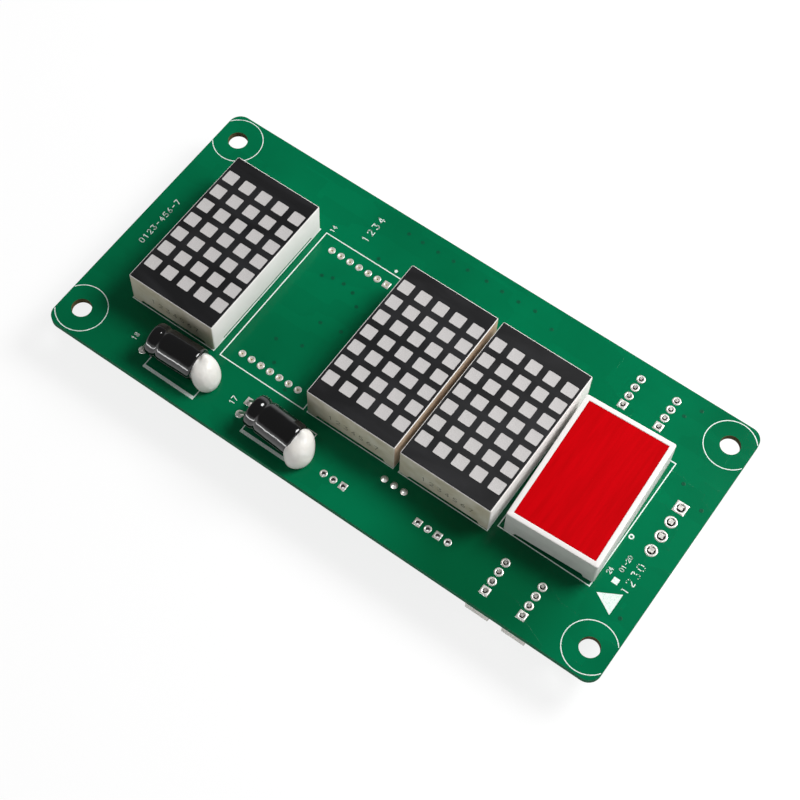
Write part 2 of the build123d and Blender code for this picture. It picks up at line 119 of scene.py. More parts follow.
def make_mesh(name, grids, loops=(True, False), weld=0.0005):
    """One mesh from grids in millimetres, which as a rule run all the way round along their
    first axis. Points nearer than weld are merged, which closes seams and poles."""
    points, quads, start = [], [], 0
    for grid in grids:
        grid = grid if grid.ndim == 4 else grid[None]
        quads.append(grid_quads(grid, *loops) + start)
        points.append(grid.reshape(-1, 3))
        start += len(points[-1])
    points = np.concatenate(points) * MM
    quads = np.concatenate(quads)
    mesh = bpy.data.meshes.new(name)
    mesh.from_pydata(points.tolist(), [], quads.tolist())
    mesh.update()
    weld_mesh(mesh, weld * MM)
    return mesh


def weld_mesh(mesh, distance):
    """Merge a mesh's double points and drop faces that have shrunk to nothing."""
    work = bmesh.new()
    work.from_mesh(mesh)
    bmesh.ops.remove_doubles(work, verts=work.verts, dist=distance)
    bmesh.ops.dissolve_degenerate(work, edges=work.edges, dist=distance / 10)
    work.to_mesh(mesh)
    work.free()


def new_piece(name, mesh, material, smooth=30):
    """Object of a finished mesh: it rides on the body, and faces that meet at less than the
    smooth angle in degrees are shaded as one surface."""
    piece = bpy.data.objects.new(name, mesh)
    bpy.context.scene.collection.objects.link(piece)
    mesh.materials.append(material)
    mesh.shade_smooth()
    mesh.set_sharp_from_angle(angle=radians(smooth))
    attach(piece, "root")
    return piece


# %% [markdown]
# ## Camera
#
# The photograph was taken from above the right front corner with a long lens. The place and the
# turn of the camera were worked out from the dots, the pin rows and the corners of the board.

# %% Camera
camera_place = Vector((95.015, -147.963, 332.886)) * MM
camera_forward = Vector((-0.246299, 0.383859, -0.889938))
camera_up = Vector((-0.526358, 0.718033, 0.455386))
camera_right = camera_forward.cross(camera_up)

camera_data = bpy.data.cameras.new("camera")
camera_data.lens = 77.138
camera_data.sensor_width = 36
camera = bpy.data.objects.new("camera", camera_data)
turn = Matrix((camera_right, camera_up, -camera_forward)).transposed()
camera.matrix_world = Matrix.Translation(camera_place) @ turn.to_4x4()
bpy.context.scene.collection.objects.link(camera)
bpy.context.scene.camera = camera
bpy.context.scene.view_settings.view_transform = "Standard"
print("camera at", [round(c, 4) for c in camera_place])

# %% [markdown]
# ## Materials: how a finish is made
#
# Colours are written as the hex values that a colour picker shows, and one function turns them
# into the linear values that Blender computes with. Another adds a node with its settings and
# links, so that each finish below reads as a list of what is done to the surface.
#
# Grains, streaks and waves have a real width in millimetres, and a pattern's scale is one over
# that width. Sockets with a number are these: a colour Mix takes its share at 0 and its colours
# at 6 and 7, and gives its result at 2. Map Range takes its value at 0, the range it comes from
# at 1 and 2, and the range it goes to at 3 and 4.

# %% Colour and node helpers


def linear(hex_colour):
    """Linear red, green, blue and alpha of an sRGB hex colour."""
    srgb = np.array([int(hex_colour[i:i + 2], 16) / 255 for i in (1, 3, 5)])
    rgb = np.where(srgb <= 0.04045, srgb / 12.92, ((srgb + 0.055) / 1.055) ** 2.4)
    return (*rgb.tolist(), 1.0)


def scale_for(width):
    """Scale of a pattern whose grains are that many millimetres wide."""
    return 1 / (width * MM)


def add(tree, kind, sockets=None, **settings):
    """Add one node. Settings are its own values; sockets maps an input's name or number to a
    value, or to the output socket that feeds it."""
    new = tree.nodes.new("ShaderNode" + kind)
    for name, value in settings.items():
        setattr(new, name, value)
    for key, value in (sockets or {}).items():
        if isinstance(value, bpy.types.NodeSocket):
            tree.links.new(value, new.inputs[key])
        else:
            new.inputs[key].default_value = value
    return new


def empty_tree(owner):
    """The node tree of a material or a world, with nothing in it."""
    owner.use_nodes = True
    owner.node_tree.nodes.clear()
    return owner.node_tree


# %% [markdown]
# ## Floor, light and background
#
# A product picture like this is taken on white paper, in a room with pale walls and a darker
# ceiling, under one large soft lamp high on the right. Flat glossy parts mirror the ceiling, so
# their colours stay deep, and the walls make every low view's background white. A weak strip
# lamp low in front draws a bright line along glossy round parts; it shows in reflections only.
# The paper glows a little where it is seen directly or in a reflection, so that it reads as
# white and still carries the shadow.

# %% Floor
glow_share = 0.74
glow_strength = 1.12
floor_reach = 3.0
floor_material = bpy.data.materials.new("white_paper_sweep")
tree = empty_tree(floor_material)
ray = add(tree, "LightPath")
seen = ray.outputs["Is Camera Ray"]
for kind in ("Is Glossy Ray", "Is Transmission Ray"):
    seen = add(tree, "Math", {0: seen, 1: ray.outputs[kind]}, operation="MAXIMUM").outputs[0]
paper = add(tree, "BsdfDiffuse", {"Color": linear("#E6E6E6")})
glow = add(tree, "Emission", {"Color": linear("#FFFFFF"), "Strength": glow_strength})
lit = add(tree, "MixShader", {0: glow_share, 1: paper.outputs[0], 2: glow.outputs[0]})
sweep = add(tree, "MixShader", {0: seen, 1: paper.outputs[0], 2: lit.outputs[0]})
add(tree, "OutputMaterial", {"Surface": sweep.outputs[0]})

floor_z = cad_box[0][2]
corners = np.array([(-1, -1), (1, -1), (1, 1), (-1, 1)]) * floor_reach
floor_mesh = bpy.data.meshes.new("floor")
floor_mesh.from_pydata([(x, y, floor_z) for x, y in corners.tolist()], [], [(0, 1, 2, 3)])
floor_mesh.materials.append(floor_material)
floor = bpy.data.objects.new("floor", floor_mesh)
bpy.context.scene.collection.objects.link(floor)
print("floor at", round(floor_z / MM, 2), "mm")

# %% Room
# The heights are those of a direction: 0 is level and 1 is straight up.
wall_top, ceiling_edge = 0.16, 0.5
wall_light, ceiling_light = 1.0, 0.16
bpy.context.scene.world = bpy.data.worlds.new("pale_room")
tree = empty_tree(bpy.context.scene.world)
look = add(tree, "TexCoord")
height = add(tree, "SeparateXYZ", {0: look.outputs["Generated"]})
heights = {1: wall_top, 2: ceiling_edge, 3: wall_light, 4: ceiling_light}
room = add(tree, "MapRange", {0: height.outputs["Z"], **heights}, interpolation_type="SMOOTHSTEP")
sky = add(tree, "Background", {"Color": linear("#FFFFFF"), "Strength": room.outputs[0]})
add(tree, "OutputWorld", {"Surface": sky.outputs[0]})
print("light of the walls and the ceiling:", wall_light, ceiling_light)

# %% Lamps


def soft_lamp(name, direction, distance, sides, watts):
    """Rectangular lamp at a distance in that direction, facing the board's middle; in metres."""
    data = bpy.data.lights.new(name, "AREA")
    data.shape = "RECTANGLE"
    data.size, data.size_y = sides
    data.energy = watts
    lamp = bpy.data.objects.new(name, data)
    towards = Vector(direction).normalized()
    lamp.location = towards * distance
    lamp.rotation_euler = towards.to_track_quat("Z", "Y").to_euler()
    lamp.visible_camera = False
    bpy.context.scene.collection.objects.link(lamp)
    return lamp


soft_lamp("key_lamp", (0.22, 0.28, 0.38), 0.52, (0.24, 0.24), 2.95)
strip_lamp = soft_lamp("strip_lamp", (-0.25, -0.95, 0.06), 0.5, (0.6, 0.06), 1.0)
strip_lamp.visible_diffuse = False
print("lamps:", len(bpy.data.lights))

# %% [markdown]
# ## Finishes of one grain
#
# Ink, tin, rubber or nylon are one irregular grain between two close tones, which may also
# change the gloss and stand up a little as bumps. One function makes all of those. The large
# surfaces get more than one pattern, and are written out node by node.

# %% Finish helpers


def start_finish(name):
    """New material; returns it, its empty node tree and the Object coordinates in that tree."""
    material = bpy.data.materials.new(name)
    tree = empty_tree(material)
    return material, tree, add(tree, "TexCoord").outputs["Object"]


def shade(tree, **sockets):
    """The one shader of a finish, set by values and fed by other nodes, and its output."""
    sockets = {name.replace("_", " "): value for name, value in sockets.items()}
    shader = add(tree, "BsdfPrincipled", sockets)
    add(tree, "OutputMaterial", {"Surface": shader.outputs[0]})


def grained(name, grain, dark, light, detail=3.0, tones=(0.0, 1.0), gloss=None, relief=None,
            **sockets):
    """Finish of one noise, whose grains have one width in millimetres or one for each axis.

    The tones change from dark to light between two values of the noise. Gloss is two such values
    and the roughness at each. Relief is the strength and the depth of the bumps.
    """
    material, tree, place = start_finish(name)
    sized = add(tree, "Mapping", {0: place, "Scale": scale_for(np.full(3, grain)).tolist()})
    pattern = {"Vector": sized.outputs[0], "Scale": 1.0, "Detail": detail}
    noise = add(tree, "TexNoise", pattern).outputs[0]
    share = add(tree, "MapRange", dict(enumerate((noise, *tones)))).outputs[0]
    colour = add(tree, "Mix", {0: share, 6: linear(dark), 7: linear(light)}, data_type="RGBA")
    if gloss:
        sockets["Roughness"] = add(tree, "MapRange", dict(enumerate((noise, *gloss)))).outputs[0]
    if relief:
        strength, depth = relief
        bumps = add(tree, "Bump", {"Height": noise, "Strength": strength, "Distance": depth * MM})
        sockets["Normal"] = bumps.outputs[0]
    shade(tree, Base_Color=colour.outputs[2], **sockets)
    return material


# %% [markdown]
# ## Green solder mask
#
# The laminate is coated with a green epoxy lacquer, baked glossy. It lies a little thicker in
# places, so its green drifts over a few centimetres, and its surface has a faint orange peel. Over
# the copper below it the green differs a little and stands a few hundredths of a millimetre
# higher, in patches with straight edges. The lacquer colours the translucent outer edge too, and
# the drilled holes show the bare, olive-brown laminate with its glass layers. A darker pool of
# green near the front edge is painted shade.

# %% Colour of the lacquer
# The eye sees one deep green that is never quite even: drifts of 45 mm, a pool of painted shade
# that reaches 30 mm, and copper patches of about 11 by 5 mm.
finishes = {}
finishes["board_green"], tree, place = start_finish("green_solder_mask")
drift = add(tree, "TexNoise", {"Vector": place, "Scale": scale_for(45.5), "Detail": 3.0})
drifting = add(tree, "MapRange", {0: drift.outputs[0], 1: 0.4, 2: 0.6})
# Painted shade: the green is darkened in a pool near the front edge, which fades out between the
# two distances.
pool_middle = Vector((40.0, -27.0, board_top)) * MM
pool_inside, pool_outside = 8.0 * MM, 30.0 * MM
pool = add(tree, "VectorMath", {0: place, 1: pool_middle}, operation="DISTANCE")
front_painted_shade = add(tree, "MapRange", {0: pool.outputs["Value"], 1: pool_inside, 2: pool_outside, 3: 0.8,
                               4: 0.0}, interpolation_type="SMOOTHSTEP")
runs = add(tree, "Mapping", {0: place, "Scale": (scale_for(11.1), scale_for(4.76), 0.0)})
copper = add(tree, "TexVoronoi", {"Vector": runs.outputs[0], "Scale": 1.0, "Randomness": 0.8},
             distance="CHEBYCHEV")
patch = add(tree, "SeparateColor", {0: copper.outputs["Color"]})
bare = add(tree, "MapRange", {0: patch.outputs[0], 1: 0.45, 2: 0.55, 3: 0.0, 4: 0.12})
lacquer = linear("#006640")
for share, tone in ((drifting, "#007249"), (front_painted_shade, "#00522F"), (bare, "#005030")):
    mixed = add(tree, "Mix", {0: share.outputs[0], 6: lacquer, 7: linear(tone)}, data_type="RGBA")
    lacquer = mixed.outputs[2]
print("darker pool from", round(pool_inside / MM), "to", round(pool_outside / MM), "mm")

# %% Edges and holes of the laminate
# Glass cloth lies in layers about 0.17 mm thick. The outer edge is past these distances from
# the middle, and it looks green; the walls of the drilled holes look olive brown.
outer_edge = {"X": 70.8, "Y": 32.0}
cloth = (scale_for(3.33), scale_for(3.33), scale_for(0.167))
layers = add(tree, "Mapping", {0: place, "Scale": cloth})
glass = add(tree, "TexNoise", {"Vector": layers.outputs[0], "Scale": 1.0, "Detail": 2.0})
drilled, sawn = [
    add(tree, "Mix", {0: glass.outputs[0], 6: linear(dark), 7: linear(light)}, data_type="RGBA")
    for dark, light in (("#3A3520", "#6E6340"), ("#0A4A30", "#1E7450"))
]
across = add(tree, "VectorMath", {0: place}, operation="ABSOLUTE")
reach = add(tree, "SeparateXYZ", {0: across.outputs[0]})
past = [add(tree, "Math", {0: reach.outputs[axis], 1: limit * MM}, operation="GREATER_THAN")
        for axis, limit in outer_edge.items()]
outer = add(tree, "Math", {0: past[0].outputs[0], 1: past[1].outputs[0]}, operation="MAXIMUM")
edge = add(tree, "Mix", {0: outer.outputs[0], 6: drilled.outputs[2], 7: sawn.outputs[2]},
           data_type="RGBA")
print("green edge past", outer_edge, "mm")

# %% Lacquer on the faces, laminate on the edges
# The peel is a millimetre wide. It breaks up reflections on the glossy faces just enough for
# them to look baked, not polished. The edges are sawn and drilled, so they look matt.
upright = add(tree, "SeparateXYZ", {0: add(tree, "NewGeometry").outputs["Normal"]})
flat = add(tree, "Math", {0: upright.outputs["Z"]}, operation="ABSOLUTE")
coated = add(tree, "Math", {0: flat.outputs[0], 1: 0.5}, operation="GREATER_THAN").outputs[0]
colour = add(tree, "Mix", {0: coated, 6: edge.outputs[2], 7: lacquer}, data_type="RGBA")
gloss = add(tree, "MapRange", {0: coated, 3: 0.8, 4: 0.16})
peel = add(tree, "TexNoise", {"Vector": place, "Scale": scale_for(1.11), "Detail": 2.0})
step = add(tree, "Bump", {"Height": patch.outputs[0], "Strength": 0.25, "Distance": 0.03 * MM})
bumps = add(tree, "Bump", {"Height": peel.outputs[0], "Strength": 0.12, "Distance": 0.04 * MM,
                           "Normal": step.outputs[0]})
shade(tree, Base_Color=colour.outputs[2], Roughness=gloss.outputs[0], Normal=bumps.outputs[0],
      Specular_IOR_Level=0.1)
print("nodes in the board's finish:", len(tree.nodes))

# %% Covered copper and inks
# The lacquer sinks into a plated hole and looks darker there.
finishes["covered_copper"] = grained("lacquered_through_hole", 0.667, "#064830", "#0A5C3E",
                                     detail=2.0, Roughness=0.3, Specular_IOR_Level=0.1)
# A thin screen print: a little patchy, so that green shows through in grains of a third of a
# millimetre. The mesh of the screen is finer than that, and too fine to show.
finishes["print_white"] = grained("screen_printed_ink", 1 / 3, "#C0E4D4", "#ECF6F1",
                                  tones=(0.3, 0.5), Roughness=0.55, Specular_IOR_Level=0.3)
# Figures stamped on the white plastic: so thin that they look like pencil.
finishes["stamped_grey"] = grained("faint_stamped_ink", 0.833, "#5A564A", "#868070",
                                   detail=2.0, Roughness=0.6, Specular_IOR_Level=0.3)
print("finishes so far:", len(finishes))

# %% [markdown]
# ## White moulded plastic
#
# The module housings are moulded in white plastic with a fine matt grain. Some of their walls are
# smeared with the resin that was cast into them: yellowish, mottled over a few millimetres. The
# middle module's wall at the narrow gap behind it is brown: resin stain together with painted
# shade of the gap. The smears and that shade are mixed in by the direction that a wall faces.

# %% Housing finish


def moulded_white(name, walls):
    """White plastic with a fine grain. Each entry of walls is an outward direction and the two
    tones put on the walls that face it: resin smears on the front walls, resin stain with painted
    shade on the middle module's wall at the gap, and painted shade on the bar's walls.

    A mould's spark-eroded skin leaves grains of some 0.05 mm. They are drawn 0.2 mm wide,
    because the real ones are too fine to show. They take the shine off the white.
    """
    material, tree, place = start_finish(name)
    normal = add(tree, "NewGeometry").outputs["Normal"]
    tint = add(tree, "TexNoise", {"Vector": place, "Scale": scale_for(4.55), "Detail": 3.0})
    colour = add(tree, "Mix", {0: tint.outputs[0], 6: linear("#EAE7E4"), 7: linear("#F4F2F0")},
                 data_type="RGBA")
    smears = add(tree, "TexNoise", {"Vector": place, "Scale": scale_for(3.85), "Detail": 3.0,
                                    "Distortion": 0.3})
    patchy = add(tree, "MapRange", {0: smears.outputs[0], 1: 0.3, 2: 0.7})
    for direction, dark, light in walls:
        resin = add(tree, "Mix", {0: patchy.outputs[0], 6: linear(dark), 7: linear(light)},
                    data_type="RGBA")
        facing = add(tree, "VectorMath", {0: normal, 1: direction}, operation="DOT_PRODUCT")
        share = add(tree, "MapRange", {0: facing.outputs["Value"], 1: 0.6, 2: 0.95})
        colour = add(tree, "Mix", {0: share.outputs[0], 6: colour.outputs[2],
                                   7: resin.outputs[2]}, data_type="RGBA")
    grain = add(tree, "TexNoise", {"Vector": place, "Scale": scale_for(0.2), "Detail": 2.0})
    bumps = add(tree, "Bump", {"Height": grain.outputs[0], "Strength": 0.2, "Distance": 0.03 * MM})
    shade(tree, Base_Color=colour.outputs[2], Normal=bumps.outputs[0], Roughness=0.45,
          Specular_IOR_Level=0.35)
    return material


front_wall, side_wall = (0.0, -1.0, 0.0), (1.0, 0.0, 0.0)
smeared_front = (front_wall, "#BEB69E", "#D6D1C2")
# Brown on the middle module's side walls: resin stain, with painted shade of the narrow gap.
stain_and_gap_shade_side = (side_wall, "#A8907A", "#C4B098")
# The bar's front and side walls are greyer: painted shade.
shaded_walls = [(front_wall, "#C2C5C0", "#D0D2CE"), (side_wall, "#CDCCC9", "#D8D7D4")]
finishes["housing_white"] = moulded_white("white_moulded_plastic", [smeared_front])
finishes["stained_white"] = moulded_white("resin_stained_plastic_with_painted_gap_shade", [smeared_front, stain_and_gap_shade_side])
finishes["bar_white"] = moulded_white("clean_white_moulded_plastic", shaded_walls)
print("white plastics:", [name for name in finishes if name.endswith("_white")])

# %% [markdown]
# ## Black face, cast dots and red sheet
#
# The face is painted satin black and wiped: wide soft smears change its gloss and lighten it at
# the ends, as a painted sheen.
# The dots are clear resin with a whitish powder, which shows as a fine grain. The bar's sheet is
# red acrylic with drawn streaks along its length.

# %% Black face
# Wiping marks are 18 mm long and 8 mm wide. Dust grains are far below a tenth of a millimetre;
# they are drawn a sixth of a millimetre wide, so that the black looks dusty, not dead.
finishes["mask_black"], tree, place = start_finish("satin_black_paint")
dust = add(tree, "TexNoise", {"Vector": place, "Scale": scale_for(1 / 6), "Detail": 2.0})
wiping = (scale_for(18.2), scale_for(7.69), scale_for(18.2))
wiped = add(tree, "Mapping", {0: place, "Scale": wiping})
smears = add(tree, "TexNoise", {"Vector": wiped.outputs[0], "Scale": 1.0, "Detail": 4.0,
                                "Distortion": 1.0})
# Painted sheen: the smears lighten the black's colour, up to 0.3 of the way to its lighter tone.
painted_sheen = add(tree, "MapRange", {0: smears.outputs[0], 1: 0.42, 2: 0.75, 3: 0.0, 4: 0.3})
both = add(tree, "Math", {0: dust.outputs[0], 1: painted_sheen.outputs[0], 2: painted_sheen.outputs[0]},
           operation="MULTIPLY_ADD")
colour = add(tree, "Mix", {0: both.outputs[0], 6: linear("#121214"), 7: linear("#303033")},
             data_type="RGBA")
gloss = add(tree, "MapRange", {0: smears.outputs[0], 1: 0.3, 2: 0.7, 3: 0.46, 4: 0.56})
shade(tree, Base_Color=colour.outputs[2], Roughness=gloss.outputs[0], Specular_IOR_Level=0.25)
print("scales of the wiping marks:", [round(scale) for scale in wiping])

# %% Cast dots
# The powder's grains are too fine to show and are drawn 0.24 mm wide. They make a dot look
# frosted, and clouds of nearly 4 mm keep neighbouring dots from looking printed.
finishes["dot_grey"], tree, place = start_finish("cast_resin_with_powder")
powder = add(tree, "TexNoise", {"Vector": place, "Scale": scale_for(0.238), "Detail": 4.0,
                                "Roughness": 0.7})
cloud = add(tree, "TexNoise", {"Vector": place, "Scale": scale_for(3.85), "Detail": 1.0})
grainy = add(tree, "MapRange", {0: powder.outputs[0], 1: 0.35, 2: 0.65})
grains = add(tree, "Mix", {0: grainy.outputs[0], 6: linear("#B5B2B1"), 7: linear("#D8D5D4")},
             data_type="RGBA")
colour = add(tree, "Mix", {0: cloud.outputs[0], 6: grains.outputs[2], 7: linear("#C8C5C4")},
             data_type="RGBA")
bumps = add(tree, "Bump", {"Height": powder.outputs[0], "Strength": 0.15, "Distance": 0.03 * MM})
shade(tree, Base_Color=colour.outputs[2], Normal=bumps.outputs[0], Roughness=0.4,
      Specular_IOR_Level=0.3)
print("nodes in a dot's finish:", len(tree.nodes))

# %% Red sheet
# Streaks a millimetre wide and 14 mm long run along the sheet, which is turned with the bar.
# They make the red look drawn and slightly brushed; its gloss is very low.
bar_turn = 2.5
finishes["diffuser_red"], tree, place = start_finish("red_acrylic_sheet")
drawing = (scale_for(1.11), scale_for(14.3), scale_for(1.11))
drawn = add(tree, "Mapping", {0: place, "Rotation": (0.0, 0.0, radians(-bar_turn)),
                              "Scale": drawing})
streaks = add(tree, "TexNoise", {"Vector": drawn.outputs[0], "Scale": 1.0, "Detail": 4.0,
                                 "Distortion": 0.4})
deep = add(tree, "MapRange", {0: streaks.outputs[0], 1: 0.35, 2: 0.7})
colour = add(tree, "Mix", {0: deep.outputs[0], 6: linear("#CA0009"), 7: linear("#BC0006")},
             data_type="RGBA")
bumps = add(tree, "Bump", {"Height": streaks.outputs[0], "Strength": 0.1, "Distance": 0.05 * MM})
shade(tree, Base_Color=colour.outputs[2], Normal=bumps.outputs[0], Roughness=0.45,
      Specular_IOR_Level=0.02)
print("red sheet turned by", bar_turn, "degrees")

# %% [markdown]
# ## Capacitor finishes
#
# The sleeve is black PVC, shrunk on with heat. It is very smooth and a little wavy, which bends
# its reflections. The can below is drawn aluminium with fine lines round it. The bung is moulded
# rubber, and the silicone is milky, so light enters it a little before it comes back.

# %% Sleeve, can, bung and silicone
# Waves of 3 mm in a film with a sharp gloss: long, slightly broken lines of light.
finishes["sleeve_black"] = grained(
    "shrunk_pvc_film", 3.03, "#020203", "#070708", detail=2.0, relief=(0.5, 0.3),
    Roughness=0.07, Specular_IOR_Level=0.5, Coat_Weight=0.4, Coat_Roughness=0.04)
# The die leaves lines a few hundredths of a millimetre apart. They are drawn 0.2 mm apart,
# because the real ones are too fine to show, and they turn a mirror into a silky metal.
finishes["can_aluminium"] = grained(
    "drawn_aluminium", (0.2, 4.0, 4.0), "#C6C6C8", "#E2E2E4", gloss=(0.0, 1.0, 0.22, 0.4),
    Metallic=1.0)
# A greyish bloom in spots of 0.4 mm on a black that hardly shines.
finishes["bung_rubber"] = grained(
    "moulded_rubber", 0.4, "#121212", "#2C2B2A", Roughness=0.75, Specular_IOR_Level=0.3)
# Smooth, uneven lumps of 2.6 mm. Light goes about a millimetre deep, which softens the shade.
finishes["silicone_white"] = grained(
    "cured_white_silicone", 2.63, "#E2DFD8", "#F2F0EC", detail=2.0, relief=(0.5, 0.6),
    Roughness=0.34, Specular_IOR_Level=0.4, Subsurface_Weight=0.2,
    Subsurface_Radius=(0.0012, 0.0011, 0.001), Subsurface_Scale=1.0)
print("finishes so far:", len(finishes))

# %% [markdown]
# ## Tin, solder and flux
#
# Pins and leads are plated with matt tin. Solder freezes brighter, with a slight ripple, and keeps
# a dull patch where it cooled last. The wall inside a plated hole is dull, and its dark colour is
# painted shade. Flux stays in the filled holes as a beige resin.

# %% Metal of the joints
# Tin crystals are a few hundredths of a millimetre. Drawn half a millimetre wide, they give
# the pins a cloudy, soft shine.
finishes["tinned_metal"] = grained(
    "matt_tin_plating", 0.5556, "#A09E98", "#D2D0CA", gloss=(0.0, 1.0, 0.25, 0.45), Metallic=1.0)
# Ripples of 0.7 mm, where bright and dull spots lie side by side.
finishes["solder"] = grained(
    "frozen_solder", 0.7143, "#F2F2EE", "#D2D0C8", detail=2.0, tones=(0.4, 0.65),
    gloss=(0.35, 0.65, 0.24, 0.5), relief=(0.15, 0.06), Metallic=0.6)
# Stains of 0.4 mm on a near-black colour, which is painted shade, so that an open hole looks deep.
finishes["hole_wall"] = grained(
    "plating_with_painted_shade", 0.4, "#1E1C18", "#464238", detail=2.0, Roughness=0.6, Metallic=0.3)
# Resin with cracks about 0.45 mm apart: beige, and a little glassy.
finishes["flux"] = grained(
    "dried_flux", 0.4545, "#B8AC8C", "#EAE4D4", Roughness=0.35, Specular_IOR_Level=0.4)
print("finishes so far:", len(finishes))

# %% [markdown]
# ## Rear parts and what lies inside
#
# Connectors are natural nylon, a warm white that lets a little light in. Chip packages are
# epoxy with a matt, gritty moulding skin. The crystal's can is drawn steel with tin. Chip
# resistors are black glass on ceramic, chip capacitors a tan ceramic. The substrates, their
# light chips and the resin round them lie inside the modules.

# %% Nylon and moulded epoxy
# Flow marks of 3.3 mm, and light that goes a millimetre deep: the nylon looks waxy.
finishes["connector_nylon"] = grained(
    "natural_nylon", 3.33, "#F0EDE4", "#F8F6F0", relief=(0.15, 0.1), Roughness=0.5,
    Specular_IOR_Level=0.4, Subsurface_Weight=0.1, Subsurface_Radius=(0.001, 0.0009, 0.0007),
    Subsurface_Scale=1.0)
# The filler's grit is near 0.05 mm. It is drawn 0.18 mm wide to show, as a dull sandy skin.
finishes["package_black"] = grained(
    "moulded_epoxy", 0.1818, "#151517", "#2B2B2E", relief=(0.35, 0.05), Roughness=0.62,
    Specular_IOR_Level=0.35)
print("finishes so far:", len(finishes))

# %% Small parts
# Name, two tones, width of the grain in millimetres, roughness and metallic. From the top:
# satin steel, black glass that shines at its edges, biscuit-like ceramic, hazy resin, bare
# laminate, and chips that glint like brass.
small_parts = {
    "crystal_can": ("tinned_steel_can", "#B4B2AC", "#DCDAD4", 0.7, 0.3, 1.0),
    "resistor_black": ("resistor_glass", "#0E0E11", "#25252A", 0.25, 0.28, 0.0),
    "capacitor_tan": ("capacitor_ceramic", "#8C6C48", "#B08C62", 0.3, 0.5, 0.0),
    "filling_clear": ("cast_clear_resin", "#C4C0BC", "#D8D4D0", 0.5, 0.3, 0.0),
    "substrate_white": ("white_laminate", "#C8C6BC", "#E0DED6", 0.5, 0.5, 0.0),
    "led_chip": ("gold_bonded_chip", "#A0824A", "#CDB078", 0.1, 0.4, 0.0),
}
for slot, (name, dark, light, grain, rough, metal) in small_parts.items():
    finishes[slot] = grained(name, grain, dark, light, Roughness=rough, Metallic=metal)
print("finishes of small parts:", len(small_parts))

# %% Finishes on the nodes of the solid model
slots = {part["node"]: part["material_slot"] for part in frame["record"]["subparts"]}
for name, node in nodes.items():
    node.data.materials.clear()
    node.data.materials.append(finishes[slots[name]])
print("finishes:", len(finishes), " nodes:", len(nodes))

# %% [markdown]
# ## Rounded rectangles, the outline of most parts here
#
# Moulded parts are rectangles with small radii, seen from above. One loop of points with its
# outward directions serves for all of them: a profile of offsets and heights is carried round
# it. A stack of loops, each at its own height, makes a rim or a sheet.

# %% Loops
quarter_turns = [np.linalg.matrix_power([(0, 1), (-1, 0)], quarter) for quarter in range(4)]


def rounded_loop(half_x, half_y, radius, steps=4, stops_x=(), stops_y=()):
    """Points round a rounded rectangle, counterclockwise, and their outward directions.

    Each quarter is a straight side at right angles to its outward axis, from -rest to +rest with
    extra stops, then an arc: corner centre + radius * (cos, sin) of angles from 0 to 90 degrees.
    """
    angle = np.linspace(0, pi / 2, steps + 1)[1:-1]
    arc = np.stack([np.cos(angle), np.sin(angle)], axis=1)
    points, outward = [], []
    for quarter, turn in enumerate(quarter_turns):
        reach, across, stops = ((half_x, half_y, stops_y), (half_y, half_x, stops_x))[quarter % 2]
        rest = across - radius
        side = np.concatenate([[-rest], np.sort(np.array(stops, dtype=float)), [rest]])
        away = np.concatenate([np.tile((1.0, 0.0), (len(side), 1)), arc])
        along = np.concatenate([side, np.full(len(arc), rest)])
        centre = np.stack([np.full(len(away), reach - radius), along], axis=1)
        points.append((centre + radius * away) @ turn)
        outward.append(away @ turn)
    return np.concatenate(points), np.concatenate(outward)


print("points in a plain loop:", len(rounded_loop(2.0, 1.0, 0.2)[0]))

# %% Surfaces on loops


def at_height(flat, heights):
    """Points (x, y) with their heights added; one height may serve for many points."""
    return np.concatenate([flat, np.broadcast_to(heights, flat.shape[:-1])[..., None]], axis=-1)


def carry(loop, outward, offsets, heights):
    """Surface of a profile carried round a loop: loop point + offset * outward, at its height.

    Offsets has one value for each step of the profile; heights may differ round the loop.
    """
    offsets, heights = np.broadcast_arrays(offsets, heights)
    offsets = np.broadcast_to(offsets, (len(loop), offsets.shape[-1]))
    return at_height(loop[:, None, :] + offsets[..., None] * outward[:, None, :], heights)


def stacked(loops, heights):
    """Surface through a stack of loops with the same number of points, each at its height."""
    return at_height(np.stack(loops, axis=1), heights)


def arc_steps(radius, steps=3):
    """Offsets and heights of a quarter-round edge, from the wall's top to the face's rim."""
    angle = np.linspace(0, pi / 2, steps + 1)
    return radius * (np.cos(angle) - 1), radius * (np.sin(angle) - 1)


def moved(grid, places):
    """Copies of one grid, each shifted to one of the places (x, y) or (x, y, z)."""
    places = np.array(places, dtype=float)
    shift = np.zeros((len(places), 3))
    shift[:, :places.shape[1]] = places
    return grid[None] + shift[:, None, None, :]


def turned(points, degrees):
    """Points turned about the vertical axis."""
    a = radians(degrees)
    return points @ np.array([(cos(a), sin(a), 0), (-sin(a), cos(a), 0), (0, 0, 1)])


# %% [markdown]
# ## Matrix module housings
#
# The housing is a shallow box moulded in white plastic, its walls about a millimetre thick, with
# a soft edge where the mould parts and feet that hold it off the board at its corners. The solid
# model has sharp edges, so the visible skin is a profile carried round the outline; the bottom
# rows of that profile rise where the relief between the feet is.

# %% Module sizes
housing_low, housing_high = place_mm("left_matrix_housing")
mask_low, mask_high = place_mm("left_matrix_mask")
seat, housing_top, module_top = housing_low[2], housing_high[2], mask_high[2]
module_half = (housing_high - housing_low)[:2] / 2
mask_half = (mask_high - mask_low)[:2] / 2
module_centres = {
    side: middle_mm(f"{side}_matrix_housing")[:2] for side in ("left", "middle", "right")
}
print("module", (2 * module_half).round(2), "mm, from", seat.round(2), "to", module_top.round(2))

# %% Moulded walls
relief = 0.9
relief_run = relief / np.tan(radians(60))
chamfer = 0.1
inside_height = 2.0


def foot_stops(half, foot_length):
    """Where the slopes of a side's relief start and end, measured from the side's middle."""
    return (np.array([-1, 1])[:, None] * (half - foot_length - np.array([relief_run, 0]))).ravel()


